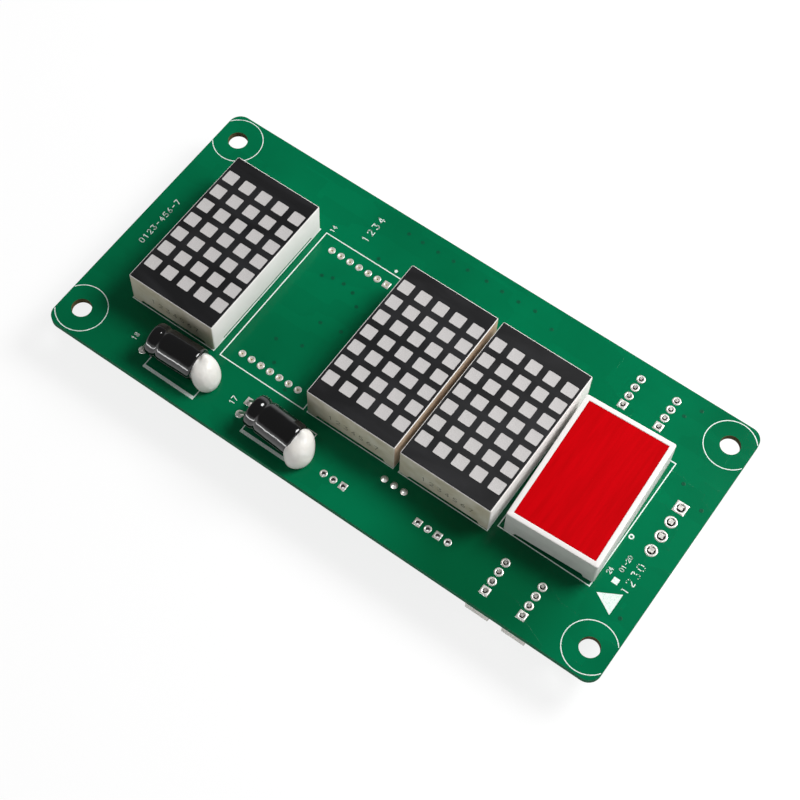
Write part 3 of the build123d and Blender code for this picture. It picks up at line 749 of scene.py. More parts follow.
def moulded_wall(loop, outward, past_foot, thickness, edge, top):
    """Wall of a moulded box: from inside it, under the rim, up the outside and over the edge.

    Its lowest rows are lifted into the relief, by the distance past the foot times the slope,
    between nothing and the relief's full height.
    """
    lift = np.clip(past_foot / relief_run, 0, 1) * relief
    round_out, round_up = arc_steps(edge)
    offsets = np.concatenate([[-thickness, -thickness, -chamfer, 0.0], round_out])
    heights = np.concatenate([[inside_height, 0.0, 0.0, chamfer], top - seat + round_up])
    lifted = np.concatenate([[0, 1, 1, 1], np.zeros(len(round_out))])
    return carry(loop, outward, offsets, seat + heights + lifted * lift[:, None])


print("relief", relief, "mm high, over a slope of", relief_run.round(2), "mm")

# %% Housing skins
module_foot = np.array([2.3, 3.0])
module_wall, module_edge, module_corner = 0.95, 0.14, 0.35
rim_width = 0.4


def housing_skin():
    """Skin of one housing about its middle: its wall, then the rim to below the black face."""
    stops_x, stops_y = map(foot_stops, module_half, module_foot)
    loop, outward = rounded_loop(*module_half, module_corner, stops_x=stops_x, stops_y=stops_y)
    past_foot = (module_half - module_foot - np.abs(loop)).max(axis=1)
    wall = moulded_wall(loop, outward, past_foot, module_wall, module_edge, housing_top)
    rim = carry(loop, outward, np.array([-rim_width]), housing_top)
    return np.concatenate([wall, rim], axis=1)


skin = housing_skin()
for side, centre in module_centres.items():
    white = finishes["stained_white" if side == "middle" else "housing_white"]
    mesh = make_mesh("skin", [moved(skin, [centre])])
    piece = new_piece(f"{side}_module_skin", mesh, white)
    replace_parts(piece, f"{side}_matrix_housing")
print("points in one skin:", skin.shape[0] * skin.shape[1])

# %% [markdown]
# ## Black faces with their windows
#
# The face is a thin black layer, with a window for each dot. Each window has its own cell of
# the face: the loop round the window is joined to the cell's edge in straight steps, and
# neighbouring cells meet point for point. The outer cells are narrower, because the dots lie
# nearer to the sides than to each other.

# %% Windows
dot_pitch, dot_half, dot_round = 4.6, 1.5, 0.25
face_edge = 0.04
window_depth = 0.3
columns, rows = 5, 7
dots_x = (np.arange(columns) - (columns - 1) / 2) * dot_pitch
dots_y = (np.arange(rows) - (rows - 1) / 2) * dot_pitch
dot_places = np.stack(np.meshgrid(dots_x, dots_y, indexing="ij"), axis=-1).reshape(-1, 2)


def window_loop(half, radius, steps=3):
    """Loop round a square window that starts and ends each quarter in the middle of a corner,
    and how far each point is through its quarter."""
    angle = np.concatenate([np.linspace(-45, 0, steps + 1), np.linspace(0, 45, steps + 1)[:-1]])
    angle = np.radians(angle)
    rest = (half - radius) * np.repeat([-1, 1], [steps + 1, steps])
    away = radius * np.stack([np.cos(angle), np.sin(angle)], axis=1)
    side = np.stack([np.full(len(rest), half - radius), rest], axis=1) + away
    share = np.tile(np.arange(len(side)) / len(side), len(quarter_turns))
    return np.concatenate([side @ turn for turn in quarter_turns]), share


def windowed_cells(x_lines, y_lines):
    """The face as one grid for each window: from the cell's edge, in over the face, and down
    into the window. A cell's edge point is its corner + share * (next corner - corner)."""
    loop, share = window_loop(dot_half, dot_round)
    outer_round, _ = window_loop(dot_half + face_edge, dot_round + face_edge)
    west, south = np.meshgrid(x_lines[:-1], y_lines[:-1], indexing="ij")
    east, north = np.meshgrid(x_lines[1:], y_lines[1:], indexing="ij")
    corners = np.stack([east, south, east, north, west, north, west, south], axis=-1)
    corners = corners.reshape(-1, 4, 2)
    quarter = np.repeat(np.arange(4), len(loop) // 4)
    ahead = (quarter + 1) % 4
    border = corners[:, quarter] + share[None, :, None] * (corners[:, ahead] - corners[:, quarter])
    middle = dot_places[:, None, :]
    lines = np.stack([border, middle + outer_round, middle + loop, middle + loop], axis=2)
    return at_height(lines, module_top - np.array([0, 0, face_edge, window_depth]))


def face_lines(dots, half):
    """Cell borders: half way between dots, and the face's own edge at both ends."""
    between = (dots[1:] + dots[:-1]) / 2
    return np.concatenate([[-half + face_edge], between, [half - face_edge]])


cells = windowed_cells(face_lines(dots_x, mask_half[0]), face_lines(dots_y, mask_half[1]))
print("windows in a face:", len(cells))

# %% Faces and dots
# The face's edge starts a little below the housing's rim, and its corners are as good as sharp.
sunk, sharp = 0.02, 0.0001
loop, outward = rounded_loop(*(mask_half - face_edge), sharp, steps=1)
rim_heights = np.array([housing_top - sunk, module_top - face_edge, module_top])
rim = carry(loop, outward, np.array([face_edge, face_edge, 0]), rim_heights)


def dot_tops(depth=0.03, dish=0.05):
    """One cast dot: rings of the window's loop shrunk towards the middle.

    It lies a little below the face, and dishes by dish * (1 - size squared), as resin does.
    """
    loop, _ = window_loop(dot_half + 0.01, dot_round)
    size = np.array([1.0, 0.97, 0.9, 0.7, 0.4, 0.02])
    return at_height(loop[:, None, :] * size[:, None], module_top - depth - dish * (1 - size ** 2))


for side, centre in module_centres.items():
    shift = np.array([*centre, 0])
    mesh = make_mesh("face", [cells + shift, rim + shift])
    piece = new_piece(f"{side}_face", mesh, finishes["mask_black"])
    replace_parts(piece, f"{side}_matrix_mask")
    mesh = make_mesh("dots", [moved(dot_tops(), dot_places) + shift])
    piece = new_piece(f"{side}_dot_tops", mesh, finishes["dot_grey"])
    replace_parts(piece, f"{side}_matrix_dots")
print("dots in a face:", len(dot_places))

# %% [markdown]
# ## Light bar
#
# The bar is a wider tray with a flat rim round one red sheet. It stands a little turned on its
# pins, as the solid model has it. The same moulded wall makes the tray, and the sheet is a loop
# shrunk towards its middle.

# %% Bar sizes
bar_rim = 1.2
bar_corners = np.array([v.co[:] for v in nodes["light_bar_diffuser"].data.vertices]) / MM
bar_centre = middle_mm("light_bar_diffuser")[:2]
straight = turned(bar_corners - np.array([*bar_centre, 0]), -bar_turn)
sheet_half = np.abs(straight).max(axis=0)[:2]
bar_half = sheet_half + bar_rim
bar_top = place_mm("light_bar_housing")[1][2]
print("bar", (2 * bar_half).round(2), "mm, top at", bar_top.round(2))

# %% Tray and sheet
bar_foot, bar_wall, bar_edge, bar_corner = 2.4, 0.45, 0.22, 0.5
sheet_gap, sheet_corner, hollow_corner = 0.03, 0.18, 0.2
sheet_drop, sheet_sag = 0.05, 0.04


def bar_tray():
    """Tray skin: its wall, with a relief along X only, and across the rim to a loop round the
    sheet, where a small bevel leads down."""
    stops = foot_stops(bar_half[0], bar_foot)
    loop, outward = rounded_loop(*bar_half, bar_corner, stops_x=stops)
    inner, _ = rounded_loop(*(sheet_half + sheet_gap), hollow_corner, stops_x=stops)
    past_foot = bar_half[0] - bar_foot - np.abs(loop[:, 0])
    wall = moulded_wall(loop, outward, past_foot, bar_wall, bar_edge, bar_top)
    rim = stacked([inner * 1.006, inner, inner], bar_top - np.array([0, 0.06, 0.4]))
    return np.concatenate([wall, rim], axis=1)


def bar_sheet():
    """Red sheet: its loop from below the rim, over a tiny bevel, shrunk towards the middle,
    where it sags by sheet_sag * (1 - size squared)."""
    loop, _ = rounded_loop(*sheet_half, sheet_corner)
    size = np.array([1.0, 1.0, 0.997, 0.97, 0.8, 0.5, 0.2, 0.001])
    drop = np.full(len(size), sheet_drop)
    drop[:2] = 0.4, 0.1
    return stacked([loop * s for s in size], bar_top - drop - sheet_sag * (1 - size ** 2))


bar_pieces = {
    "bar_tray": (bar_tray(), "bar_white", "housing_white", "light_bar_housing"),
    "bar_sheet": (bar_sheet(), "diffuser_red", "diffuser_red", "light_bar_diffuser"),
}
for name, (grid, finish, slot, node) in bar_pieces.items():
    mesh = make_mesh(name, [turned(grid, bar_turn) + np.array([*bar_centre, 0])])
    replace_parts(new_piece(name, mesh, finishes[finish]), node)
    print(name, "points:", len(mesh.vertices))

# %% [markdown]
# ## Pads, plated holes and solder joints
#
# Every joint on the board is turned: a profile of radii and heights, swept round an upright
# axis. Pads at the first hole of a part are square, which is the same profile with its outer
# radii drawn out to a square. A hundred joints are one stack of grids.

# %% Turned profiles
turn_steps = 24


def turned_profile(profile, square=False):
    """Profile rows of (radius, height, share) swept round: radius * (cos, sin) at the height.

    On a square pad each radius is also multiplied by 1 + share * (1 / max(|cos|, |sin|) - 1),
    so that share 1 gives a square and share 0 a circle.
    """
    radius, height, share = np.array(profile).T
    angle = np.linspace(0, 2 * pi, turn_steps, endpoint=False)
    way = np.stack([np.cos(angle), np.sin(angle)], axis=1)
    corner = 1 / np.abs(way).max(axis=1) - 1 if square else np.zeros(turn_steps)
    reach = radius * (1 + share * corner[:, None])
    return at_height(reach[..., None] * way[:, None, :], height)


def upside_down(grid):
    """The same surface below the board's rear face, which lies at height zero."""
    return grid[::-1] * np.array([1, 1, -1])


def joints(places, profile, square=False, rear=False):
    """Copies of a turned profile on the board's front, or upside down on its rear face."""
    grid = turned_profile(profile, square)
    return moved(upside_down(grid) if rear else grid + np.array([0, 0, board_top]), places)


def row(x, y, pitch, count, upright=False):
    """Places of a row about its middle, along X or, when upright, along Y."""
    steps = (np.arange(count) - (count - 1) / 2) * pitch
    return np.stack([x + steps * (not upright), y + steps * upright], axis=1)


print("degrees between the points of a joint:", 360 / turn_steps)

# %% Pins of the modules, the bar and the connectors
pin_pitch, power_pitch = 2.54, 3.96
rows_apart, bar_rows_apart = 33.02, 25.4
slot_y = module_centres["left"][1]
empty_slot = np.array([-23.65, slot_y])


def module_pins(centre):
    """Fourteen places: seven at each end of a module."""
    return np.concatenate([row(centre[0], centre[1] + end * rows_apart / 2, pin_pitch, 7)
                           for end in (-1, 1)])


all_module_pins = np.concatenate([module_pins(centre) for centre in module_centres.values()])
bar_pins = np.concatenate([row(bar_centre[0], bar_centre[1] + end * bar_rows_apart / 2,
                               2 * pin_pitch, 4) for end in (-1, 1)])
button_middles = [middle_mm(f"{name}_button_pins")[:2]
                  for name in ("lower_inner", "lower_outer", "upper_inner", "upper_outer")]
buttons = np.concatenate([row(*middle, pin_pitch, 4, True) for middle in button_middles])
power_pins = row(*middle_mm("power_pins")[:2], power_pitch, 4, True)
print("module pins:", len(all_module_pins), " button pins:", len(buttons))

# %% Pads of the other parts and of those left off
# A square pad marks the first hole of a part; the open holes have some in between too.
capacitor_pads = {"left": row(-49.4, -26.65, 3.5, 2, True),
                  "right": row(-22.65, -26.5, 3.5, 2, True)}
lower_lead, upper_lead = np.stack(list(capacitor_pads.values()), axis=1)
regulator_pads = row(14.15, -22.33, pin_pitch, 3)
empty_pads = module_pins(empty_slot)
open_three = row(2.95, -28.9, pin_pitch, 3)
open_four = row(26.9, -26.33, pin_pitch, 4)
open_holes = np.concatenate([open_three, open_four])
open_square = np.concatenate([open_three[2:], open_four[[0, 2]]])
open_round = np.concatenate([open_three[:2], open_four[[1, 3]]])
print("open holes:", len(open_holes), " empty pads:", len(empty_pads))

# %% Profiles of the joints
# Rows of radius, height over the board and share of the square. A ring is the solder round a hole,
# and a barrel is the plated wall in it, down to the rear or to the end of a pin, where it is
# closed. The barrels' near-black colour is painted shade.
open_ring = [(0.88, -0.02, 1), (0.86, 0.03, 1), (0.79, 0.06, 0.9), (0.62, 0.07, 0.3),
             (0.51, 0.04, 0), (0.46, -0.06, 0)]
open_barrel = [(0.46, -0.06, 0), (0.43, -0.2, 0), (0.43, 0.2 - board_top, 0),
               (0.46, 0.06 - board_top, 0)]
filled_ring = [(0.88, -0.02, 1), (0.85, 0.05, 1), (0.76, 0.09, 0.9), (0.6, 0.09, 0.3),
               (0.46, 0.03, 0), (0.42, -0.1, 0), (0.4, -0.6, 0), (0.0, -0.62, 0)]
flux_plug = [(0.45, 0.0, 0), (0.38, 0.02, 0), (0.26, -0.01, 0), (0.18, -0.1, 0),
             (0.16, -0.55, 0), (0.0, -0.56, 0)]
button_ring = [(1.04, -0.02, 1), (1.02, 0.04, 1), (0.93, 0.1, 0.8), (0.76, 0.13, 0.3),
               (0.6, 0.08, 0), (0.52, -0.03, 0)]
button_barrel = [(0.52, -0.03, 0), (0.5, -0.2, 0), (0.5, -1.1, 0), (0.0, -1.12, 0)]
power_ring = [(1.44, -0.02, 1), (1.42, 0.05, 1), (1.33, 0.11, 0.8), (1.12, 0.12, 0.3),
              (0.97, 0.07, 0), (0.89, -0.03, 0)]
power_barrel = [(0.89, -0.03, 0), (0.87, -0.2, 0), (0.87, -1.1, 0), (0.0, -1.12, 0)]
solder_cone = [(0.84, -0.02, 1), (0.82, 0.05, 1), (0.7, 0.2, 0.5), (0.52, 0.38, 0),
               (0.4, 0.54, 0), (0.31, 0.68, 0), (0.18, 0.74, 0), (0.0, 0.75, 0)]
lead_collar = [(0.96, -0.02, 1), (0.93, 0.05, 1), (0.84, 0.09, 0.7), (0.66, 0.12, 0.2),
               (0.5, 0.15, 0), (0.36, 0.24, 0), (0.26, 0.26, 0), (0.0, 0.26, 0)]
rear_cone = [(0.98, -0.02, 1), (0.95, 0.05, 1), (0.8, 0.2, 0.4), (0.6, 0.42, 0),
             (0.47, 0.68, 0), (0.39, 0.95, 0), (0.3, 1.02, 0), (0.0, 1.02, 0)]
print("heights of the cones:", solder_cone[-1][1], "in front,", rear_cone[-1][1], "on the rear")

# %% Joints on the front
square_joints = [(empty_pads[-1:], filled_ring), (open_square, open_ring),
                 (power_pins[3:], power_ring), (buttons[::4], button_ring),
                 (upper_lead, lead_collar)]
round_joints = [(empty_pads[:-1], filled_ring), (open_round, open_ring),
                (power_pins[:3], power_ring),
                (np.delete(buttons, np.s_[::4], axis=0), button_ring),
                (lower_lead, lead_collar), (regulator_pads, solder_cone)]
front = [joints(places, profile, True) for places, profile in square_joints]
front += [joints(places, profile) for places, profile in round_joints]
# Painted shade: the barrels are near black, and the closed ones end in a dark disc inside the
# hole.
barrels = [joints(open_holes, open_barrel), joints(buttons, button_barrel),
           joints(power_pins, power_barrel)]
new_piece("front_joints", make_mesh("front_joints", front), finishes["solder"],
          smooth=50)
new_piece("hole_walls_with_painted_shade", make_mesh("hole_walls_with_painted_shade", barrels), finishes["hole_wall"])
print("joints in front:", sum(map(len, front)))

# %% Joints on the rear, and flux
soldered = np.concatenate([all_module_pins, bar_pins, *capacitor_pads.values()])
behind = [joints(soldered, rear_cone, rear=True), joints(empty_pads, filled_ring, rear=True),
          joints(open_square, open_ring, True, rear=True),
          joints(open_round, open_ring, rear=True)]
new_piece("rear_joints", make_mesh("rear_joints", behind), finishes["solder"],
          smooth=50)
plugs = [joints(empty_pads, flux_plug), joints(empty_pads, flux_plug, rear=True)]
new_piece("flux_plugs", make_mesh("flux_plugs", plugs), finishes["flux"])
print("joints with pins behind:", len(soldered), " plugs of flux:", sum(map(len, plugs)))

# %% [markdown]
# ## Rear: pads, end caps and soft edges
#
# On the rear the chips stand on rows of flat pads. Chip resistors and capacitors have a metal
# cap on each end with a little fillet of solder round its foot. Both are rectangles with a
# profile carried round them, upside down. The moulded parts of the solid model have sharp
# edges, so a bevel as wide as a mould's own radius is put on them.

# %% Helpers for flat parts
pad_corner = 0.06


def under_board(half_x, half_y, profile, places):
    """Copies of one rectangle on the rear face: a profile of offsets and depths carried round
    it, ending in a flat top. It is worked out upright and then turned upside down."""
    loop, outward = rounded_loop(half_x, half_y, pad_corner, steps=2)
    offsets, depths = np.array([*profile, (-min(half_x, half_y), profile[-1][1])]).T
    return moved(upside_down(carry(loop, outward, offsets, depths)), places)


def feet(middle, reach, pitch, count, turns=(0, 180)):
    """Places of a chip's feet, one row for each turn: along its side, at its reach."""
    side = at_height(row(0, reach, pitch, count), 0.0)
    return np.concatenate([turned(side, turn)[:, :2] for turn in turns]) + middle


def both_ends(middles, half_length):
    """Places of the two ends of small parts: half_length (x, y) to each side of their middles."""
    return np.concatenate([middles + end * np.array(half_length) for end in (-1, 1)])


# %% Pads and end caps
flat_pad = [(0.0, -0.01), (-0.02, 0.03), (-0.08, 0.04)]
fillet = [(0.3, -0.01), (0.28, 0.03), (0.1, 0.1), (0.01, 0.28), (0.0, 0.3)]
resistor_cap = [*fillet, (0.0, 0.49), (-0.02, 0.515)]
capacitor_cap = [*fillet, (0.0, 0.89), (-0.02, 0.915)]
drivers = [np.array([module_centres[side][0], slot_y]) for side in ("middle", "right")]
transceiver = middle_mm("bus_transceiver_body")[:2]
controller = middle_mm("microcontroller_body")[:2]
crystal = middle_mm("crystal")[:2]
chip_feet = np.concatenate([feet(driver, 3.2, 1.27, 8) for driver in drivers]
                           + [feet(transceiver, 3.2, 1.27, 4)])
resistors = np.concatenate([row(driver[0], 7.8, 2.3, 7) for driver in drivers])
chip_capacitors = np.array([*[(driver[0], -5.6) for driver in drivers], (empty_slot[0], 7.8),
                            (bar_centre[0], -3.6), *both_ends(crystal[None], (8.35, 0))])
pads = [
    under_board(0.3, 0.6, flat_pad, chip_feet),
    under_board(0.24, 0.6, flat_pad, feet(controller, 4.75, 0.8, 8)),
    under_board(0.6, 0.24, flat_pad, feet(controller, 4.75, 0.8, 8, (90, 270))),
    under_board(0.9, 0.6, flat_pad, both_ends(crystal[None], (6.5, 0))),
    under_board(0.64, 0.18, resistor_cap, both_ends(resistors, (0, 0.84))),
    under_board(0.23, 0.64, capacitor_cap, both_ends(chip_capacitors, (0.79, 0))),
]
new_piece("rear_pads", make_mesh("rear_pads", pads), finishes["solder"], smooth=50)
print("rear pads and caps:", sum(map(len, pads)))

# %% Soft edges of the moulded parts
edge_radii = {"connector": 0.15, "body": 0.1, "bodies": 0.1, "crystal": 0.25, "resistors": 0.05,
              "chip_capacitors": 0.06}
for name, node in nodes.items():
    radius = next((edge_radii[ending] for ending in edge_radii if name.endswith(ending)), None)
    if radius:
        node.modifiers.new("weld", "WELD").merge_threshold = 0.01 * MM
        bevel = node.modifiers.new("soft_edge", "BEVEL")
        bevel.width = radius * MM
        bevel.segments = 2
        bevel.limit_method = "ANGLE"
        bevel.angle_limit = radians(30)
        print(name, "edge radius", radius)

# %% [markdown]
# ## Lying capacitors
#
# Each is an aluminium can in a black shrink sleeve, closed by a rubber bung. The sleeve is
# turned about the capacitor's axis: its lip runs over the rim of the can, the groove that holds
# the bung shows through as a waist, and it has shrunk over the edge of the far end. The profile
# is a turned one like a joint's, laid down along the capacitor.

# %% Profiles of sleeve, can and bung
# Rows of radius and way along the axis, from the end with the leads.
sleeve_profile = [
    (3.17, 0.05), (3.15, -0.1), (3.22, -0.15), (3.5, -0.14), (3.72, -0.05), (3.86, 0.15),
    (3.9, 0.5), (3.9, 1.3), (3.87, 1.55), (3.77, 1.85), (3.66, 2.1), (3.61, 2.35), (3.66, 2.6),
    (3.77, 2.85), (3.87, 3.15), (3.9, 3.45), (3.89, 6.0), (3.9, 9.0), (3.9, 11.0), (3.87, 11.3),
    (3.79, 11.58), (3.66, 11.8), (3.48, 11.95), (3.3, 12.0), (3.2, 11.95), (3.18, 11.85),
]
can_profile = [(3.6, 11.7), (3.45, 11.9), (3.2, 11.93), (1.5, 11.93), (0.0, 11.93)]
bung_profile = [(0.0, -0.12), (2.2, -0.12), (2.9, -0.1), (3.05, -0.02), (3.12, 0.2)]
capacitor_turn = {"left": 1.5, "right": -3.5}
sleeve_low, sleeve_high = -0.15, 11.4
sleeve_middle = (sleeve_low + sleeve_high) / 2
lathe_steps = 64


def laid(profile, centre, degrees):
    """Profile of (radius, way along) turned about an axis that lies flat, and turned as asked.

    Round the axis: (along, radius * cos, radius * sin) for angles all the way round.
    """
    radius, along = np.array(profile).T
    angle = np.linspace(0, 2 * pi, lathe_steps, endpoint=False)[:, None]
    axes = along - sleeve_middle, radius * np.cos(angle), radius * np.sin(angle)
    return turned(np.stack(np.broadcast_arrays(*axes), axis=-1)[::-1], degrees) + centre


print("rows in the sleeve's profile:", len(sleeve_profile))

# %% [markdown]
# ## Bent leads
#
# Two round wires leave each bung, and bend down into their holes. A wire is a circle carried
# along a path: straight runs, with a small bend in each corner, as pliers make them.

# %% Wires
lead_radius, lead_bend = 0.3, 0.45
leads_apart = 3.5
lead_inside, lead_outside = 0.6, -0.7
bend_height, lead_end = 0.55, -1.3


def bent(corners, reach, steps=6):
    """Path with its corners rounded: each is a quadratic curve between the points that lie reach
    before and after it, (1-t)^2 * before + 2t(1-t) * corner + t^2 * after."""
    corners = np.array(corners, dtype=float)
    ahead = np.diff(corners, axis=0)
    ahead /= np.linalg.norm(ahead, axis=1)[:, None]
    before, after = corners[1:-1] - reach * ahead[:-1], corners[1:-1] + reach * ahead[1:]
    t = np.linspace(0, 1, steps)[:, None, None]
    curves = (1 - t) ** 2 * before + 2 * t * (1 - t) * corners[1:-1] + t ** 2 * after
    return np.concatenate([corners[:1], curves.transpose(1, 0, 2).reshape(-1, 3), corners[-1:]])


def tube(path, radius, steps=14):
    """Round wire along a path that lies nearly in an upright plane: point + radius * (cos *
    sideways + sin * across), where sideways is level and square to the plane."""
    ahead = np.gradient(path, axis=0)
    ahead /= np.linalg.norm(ahead, axis=1)[:, None]
    run = path[-1] - path[0]
    sideways = np.array([-run[1], run[0], 0]) / np.hypot(run[0], run[1])
    across = np.cross(ahead, sideways)[:, None]
    angle = np.linspace(0, 2 * pi, steps, endpoint=False)[:, None]
    return path[:, None] + radius * (np.cos(angle) * sideways + np.sin(angle) * across)


def lead_wires(side, centre, degrees):
    """The two wires of a capacitor: out of the bung, across to the pad and down its hole."""
    wires = []
    for end, (pad_x, pad_y) in zip((-1, 1), capacitor_pads[side]):
        starts = np.array([(along - sleeve_middle, end * leads_apart / 2, 0)
                           for along in (lead_inside, lead_outside)])
        corners = [*(turned(starts, degrees) + centre), (pad_x, pad_y, board_top + bend_height),
                   (pad_x, pad_y, lead_end)]
        wires.append(tube(bent(corners, lead_bend), lead_radius))
    return wires


print("wire", 2 * lead_radius, "mm thick, ends", -lead_end, "mm below the board's rear face")

# %% Both capacitors
capacitor_parts = {
    "sleeve": (sleeve_profile, "sleeve_black"),
    "can": (can_profile, "can_aluminium"),
    "bung": (bung_profile, "bung_rubber"),
}
for side, degrees in capacitor_turn.items():
    centre = middle_mm(f"{side}_capacitor_sleeve")
    for name, (profile, finish) in capacitor_parts.items():
        mesh = make_mesh(name, [laid(profile, centre, degrees)])
        piece = new_piece(f"{side}_{name}", mesh, finishes[finish], smooth=40)
        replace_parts(piece, f"{side}_capacitor_{name}")
    mesh = make_mesh("leads", lead_wires(side, centre, degrees), loops=(False, True))
    piece = new_piece(f"{side}_leads", mesh, finishes["tinned_metal"], smooth=60)
    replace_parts(piece, f"{side}_capacitor_leads")
    print(side, "capacitor at", centre.round(2))

# %% [markdown]
# ## Lumps of silicone
#
# Each capacitor is held down by a blob of white silicone, squeezed from a nozzle. It bulges over
# its foot, and where the nozzle was pulled away a soft tip leans over the sleeve. It is a stack
# of rings whose radius follows a profile and a few waves round the lump, and whose middle moves
# towards the tip as they rise.

# %% Glue
glue_height = 6.7
tip_height, tip_spread = 1.0, 0.8
ring_share = np.array([0.78, 0.9, 0.98, 1.0, 1.0, 0.98, 0.94, 0.87, 0.77, 0.61, 0.42, 0.2, 0.0])
ring_rise = np.array([0.0, 0.05, 0.14, 0.27, 0.41, 0.55, 0.68, 0.8, 0.89, 0.95, 0.985, 0.997, 1.0])


def glue_lump(centre, radii, lean, tip, waves, steps=56, twist=1.5):
    """Ring point: middle + radii * share * (1 + waves) * (cos, sin), where the middle leans
    towards the can with the rise squared. Waves are (count, height, turn) of cosines round the
    lump, which twist as they rise. The tip raises what lies within about a millimetre of it by
    tip_height * exp(-distance squared / tip_spread) * rise to the fourth."""
    angle = np.linspace(0, 2 * pi, steps, endpoint=False)[:, None]
    wave = 1 + sum(height * np.cos(count * angle + turn + twist * ring_rise)
                   for count, height, turn in waves)
    x = centre[0] + lean[0] * ring_rise ** 2 + radii[0] * ring_share * wave * np.cos(angle)
    y = centre[1] + lean[1] * ring_rise ** 2 + radii[1] * ring_share * wave * np.sin(angle)
    peak = np.exp(-((x - tip[0]) ** 2 + (y - tip[1]) ** 2) / tip_spread) * ring_rise ** 4
    return np.stack([x, y, seat + glue_height * ring_rise + tip_height * peak], axis=-1)


lumps = {
    "left": glue_lump((-33.3, -26.0), (3.1, 3.55), (-1.5, 0.2), (-34.7, -24.3),
                      [(2, 0.04, 0.4), (3, 0.03, 2.0)]),
    "right": glue_lump((-6.0, -28.5), (2.9, 3.95), (-1.0, 0.4), (-7.0, -26.3),
                       [(2, 0.04, 2.6), (3, 0.04, 0.5)]),
}
for side, lump in lumps.items():
    mesh = make_mesh("glue", [lump])
    silicone = finishes["silicone_white"]
    piece = new_piece(f"{side}_glue", mesh, silicone, smooth=80)
    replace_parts(piece, f"{side}_capacitor_glue")
    print(side, "glue, mm:", np.ptp(lump.reshape(-1, 3), axis=0).round(1))

# %% [markdown]
# ## Printed marks
#
# The ink is a thin film on the lacquer. Round each mounting hole runs a ring that the board's
# edge cuts off, and plain figures are printed in straight strokes. Each line is a flat strip a
# hair above the board: path point plus or minus half the width sideways.

# %% Strips
ink_height = board_top + 0.015


def circle(x, y, radius, angle):
    """Points at some angles of a circle: middle + radius * (cos, sin)."""
    return np.stack([x + radius * np.cos(angle), y + radius * np.sin(angle)], axis=1)


def ribbon(path, width):
    """Flat strip along a smooth path of (x, y) points."""
    ahead = np.gradient(path, axis=0)
    right = np.stack([ahead[:, 1], -ahead[:, 0]], axis=1) / np.linalg.norm(ahead, axis=1)[:, None]
    return at_height(np.stack([path + right * width / 2, path - right * width / 2], axis=1),
                     ink_height)


# %% Figures
# Strokes of each figure, in a box that is 1 high.
figures = {
    "0": [(0, 0.2), (0, 0.8), (0.2, 1), (0.4, 1), (0.6, 0.8), (0.6, 0.2), (0.4, 0), (0.2, 0),
          (0, 0.2)],
    "1": [(0.1, 0.8), (0.3, 1), (0.3, 0)],
    "2": [(0, 0.8), (0.2, 1), (0.4, 1), (0.6, 0.8), (0.6, 0.6), (0, 0), (0.6, 0)],
    "3": [(0, 1), (0.6, 1), (0.3, 0.6), (0.6, 0.4), (0.6, 0.2), (0.4, 0), (0.2, 0), (0, 0.15)],
    "4": [(0.45, 0), (0.45, 1), (0, 0.3), (0.6, 0.3)],
    "5": [(0.6, 1), (0.1, 1), (0, 0.55), (0.4, 0.6), (0.6, 0.4), (0.6, 0.2), (0.4, 0), (0, 0.05)],
    "6": [(0.5, 1), (0.1, 0.6), (0, 0.2), (0.2, 0), (0.4, 0), (0.6, 0.2), (0.6, 0.4), (0.4, 0.55),
          (0.05, 0.45)],
    "7": [(0, 1), (0.6, 1), (0.2, 0)],
    "8": [(0.3, 0.55), (0, 0.75), (0.3, 1), (0.6, 0.75), (0.3, 0.55), (0, 0.25), (0.3, 0),
          (0.6, 0.25), (0.3, 0.55)],
    "-": [(0.1, 0.5), (0.5, 0.5)],
}


def figure_strokes(text, height, step, width, gap=0.0):
    """One short strip for each stroke of a line of figures that starts at the origin; each
    strip is longer by half its width at both ends, so that corners close, or is shorter by a
    gap, so that the figures look dashed."""
    lines = [np.array(figures[sign]) * height + np.array([number * step, 0])
             for number, sign in enumerate(text)]
    start = np.concatenate([line[:-1] for line in lines])
    end = np.concatenate([line[1:] for line in lines])
    ahead = (end - start) / np.linalg.norm(end - start, axis=1)[:, None]
    right = np.stack([ahead[:, 1], -ahead[:, 0]], axis=1) * width / 2
    longer = ahead * (width / 2 - gap)
    start, end = start - longer, end + longer
    corners = np.stack([start + right, start - right, end + right, end - right], axis=1)
    return at_height(corners.reshape(-1, 2, 2, 2), 0.0)


print("strokes in 1234:", len(figure_strokes("1234", 1.0, 1.0, 0.1)))

# %% Rings round the mounting holes
# Mirrored once, an arc runs the other way round, so its points are taken in reverse.
mount_x, mount_y = 67.1, 28.15
ring_radius, ring_line = 5.9, 0.21
edge_margin = 0.15
cut = np.arccos((board_high[0] - mount_x - edge_margin) / ring_radius)
arc = circle(mount_x, mount_y, ring_radius, np.linspace(cut, 2 * pi - cut, 97))
strips = [ribbon((arc * [x, y])[::x * y], ring_line)
          for x, y in ((1, 1), (-1, -1), (-1, 1), (1, -1))]
print("degrees of a ring that the edge cuts off:", np.degrees(2 * cut).round())

# %% Figures and plain marks
# Text, height, step from figure to figure, width and gap of the strokes, and place. All the
# lines are read from the board's right end.
printed_turn = 90
printed = [
    ("0123-456-7", 1.3, 1.42, 0.2, 0.0, (-67.0, -6.9)),
    ("1234", 1.6, 2.05, 0.22, 0.0, (-26.2, 23.4)),
    ("14", 1.1, 0.95, 0.17, 0.0, (-33.9, 20.9)),
    ("18", 1.25, 1.0, 0.18, 0.0, (-52.3, -27.5)),
    ("17", 1.25, 1.0, 0.18, 0.0, (-25.2, -27.3)),
    ("24", 1.05, 0.75, 0.16, 0.0, (62.0, -12.3)),
    ("01-20", 0.95, 0.85, 0.15, 0.0, (63.9, -10.4)),
    ("1230", 1.9, 2.1, 0.22, 0.28, (67.4, -14.2)),
]
strips += [turned(figure_strokes(*line), printed_turn) + np.array([*place, ink_height])
           for *line, place in printed]
all_round = np.linspace(0, 2 * pi, 25)
strips.append(ribbon(circle(61.1, -2.57, 0.46, all_round), 0.32))
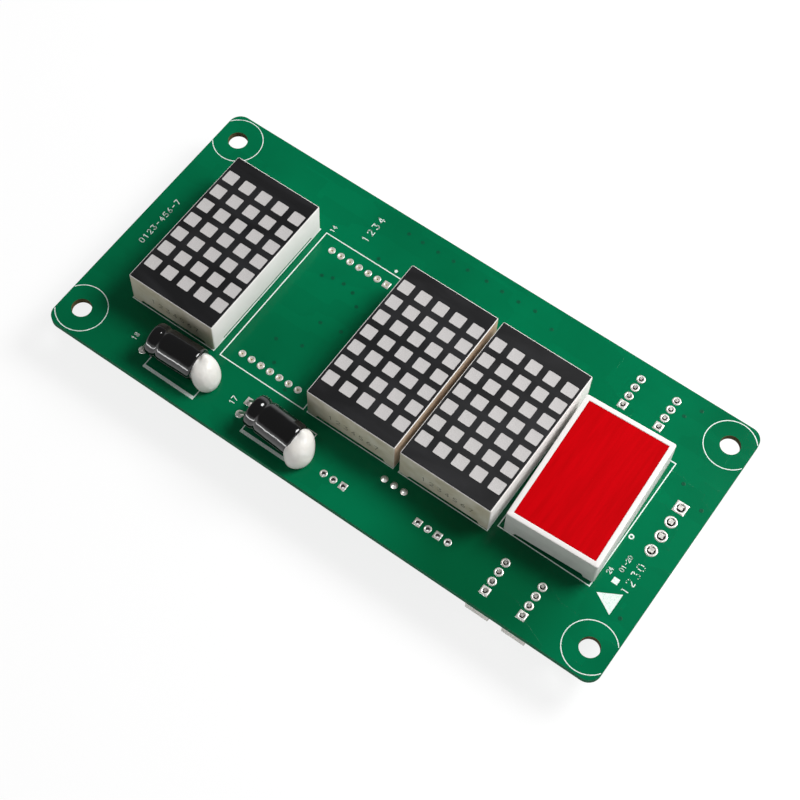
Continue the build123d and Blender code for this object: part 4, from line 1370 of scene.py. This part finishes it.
strips.append(ribbon(circle(-16.3, 21.0, 0.2, all_round), 0.4))
triangle = [[(61.8, -17.3), (61.8, -17.3)], [(66.6, -20.0), (66.6, -14.6)]]
block = [[(63.0, -13.6), (63.0, -12.2)], [(64.4, -13.6), (64.4, -12.2)]]
strips += [at_height(np.array(flat), ink_height) for flat in (triangle, block)]
# The strokes of a figure stay apart, so only points that are all but one are merged.
print_weld = 0.00005
mesh = make_mesh("printed_marks", strips, loops=(False, False), weld=print_weld)
new_piece("printed_marks", mesh, finishes["print_white"])
print("printed strips:", len(strips))

# %% Pin numbers on the module walls
figure_height, figure_step, figure_line = 1.5, 2.0, 0.17
numbers = "1234567"
first_at = np.array([0.4 - figure_step * (len(numbers) - 1) / 2, -0.012, 5.0])
strokes = figure_strokes(numbers, figure_height, figure_step, figure_line)
wall = np.stack([strokes[..., 0], -strokes[..., 2], strokes[..., 1]], axis=-1) + first_at
fronts = [wall + np.array([x, y - module_half[1], 0]) for x, y in module_centres.values()]
mesh = make_mesh("wall_figures", fronts, loops=(False, False), weld=print_weld)
new_piece("wall_figures", mesh, finishes["stamped_grey"])
print("figures on the walls:", len(numbers) * len(fronts))

# %% [markdown]
# ## Covered through holes
#
# Small plated holes join the copper of both sides. The lacquer covers them, so each shows only
# as a darker dot with a slight rim.

# %% Through holes
via_places = np.array([
    (-15.9, 30.8), (-11.6, 30.8), (-7.4, 30.85), (-3.5, 30.85), (1.6, 30.95), (5.95, 30.8),
    (10.4, 30.75), (14.75, 30.95), (20.3, 29.2), (-22.15, 0.2), (-17.05, 1.0), (-27.6, -8.85),
    (-20.9, 10.6), (-26.8, 11.1), (-29.2, 10.2), (-23.9, 11.3), (-19.75, 30.85),
    (-21.45, 21.35), (-24.3, -13.85), (-18.1, 8.2), (-21.85, -6.9), (-18.3, -17.85),
    (63.65, 14.3), (69.95, 11.2), (68.8, -19.3), (55.4, 28.2), (57.9, 31.5),
])
via = [(0.5, -0.01, 0), (0.44, 0.012, 0), (0.32, 0.014, 0), (0.22, 0.006, 0), (0.0, 0.004, 0)]
mesh = make_mesh("through_holes", [joints(via_places, via), joints(via_places, via, rear=True)])
new_piece("through_holes", mesh, finishes["covered_copper"])
print("through holes:", len(via_places))
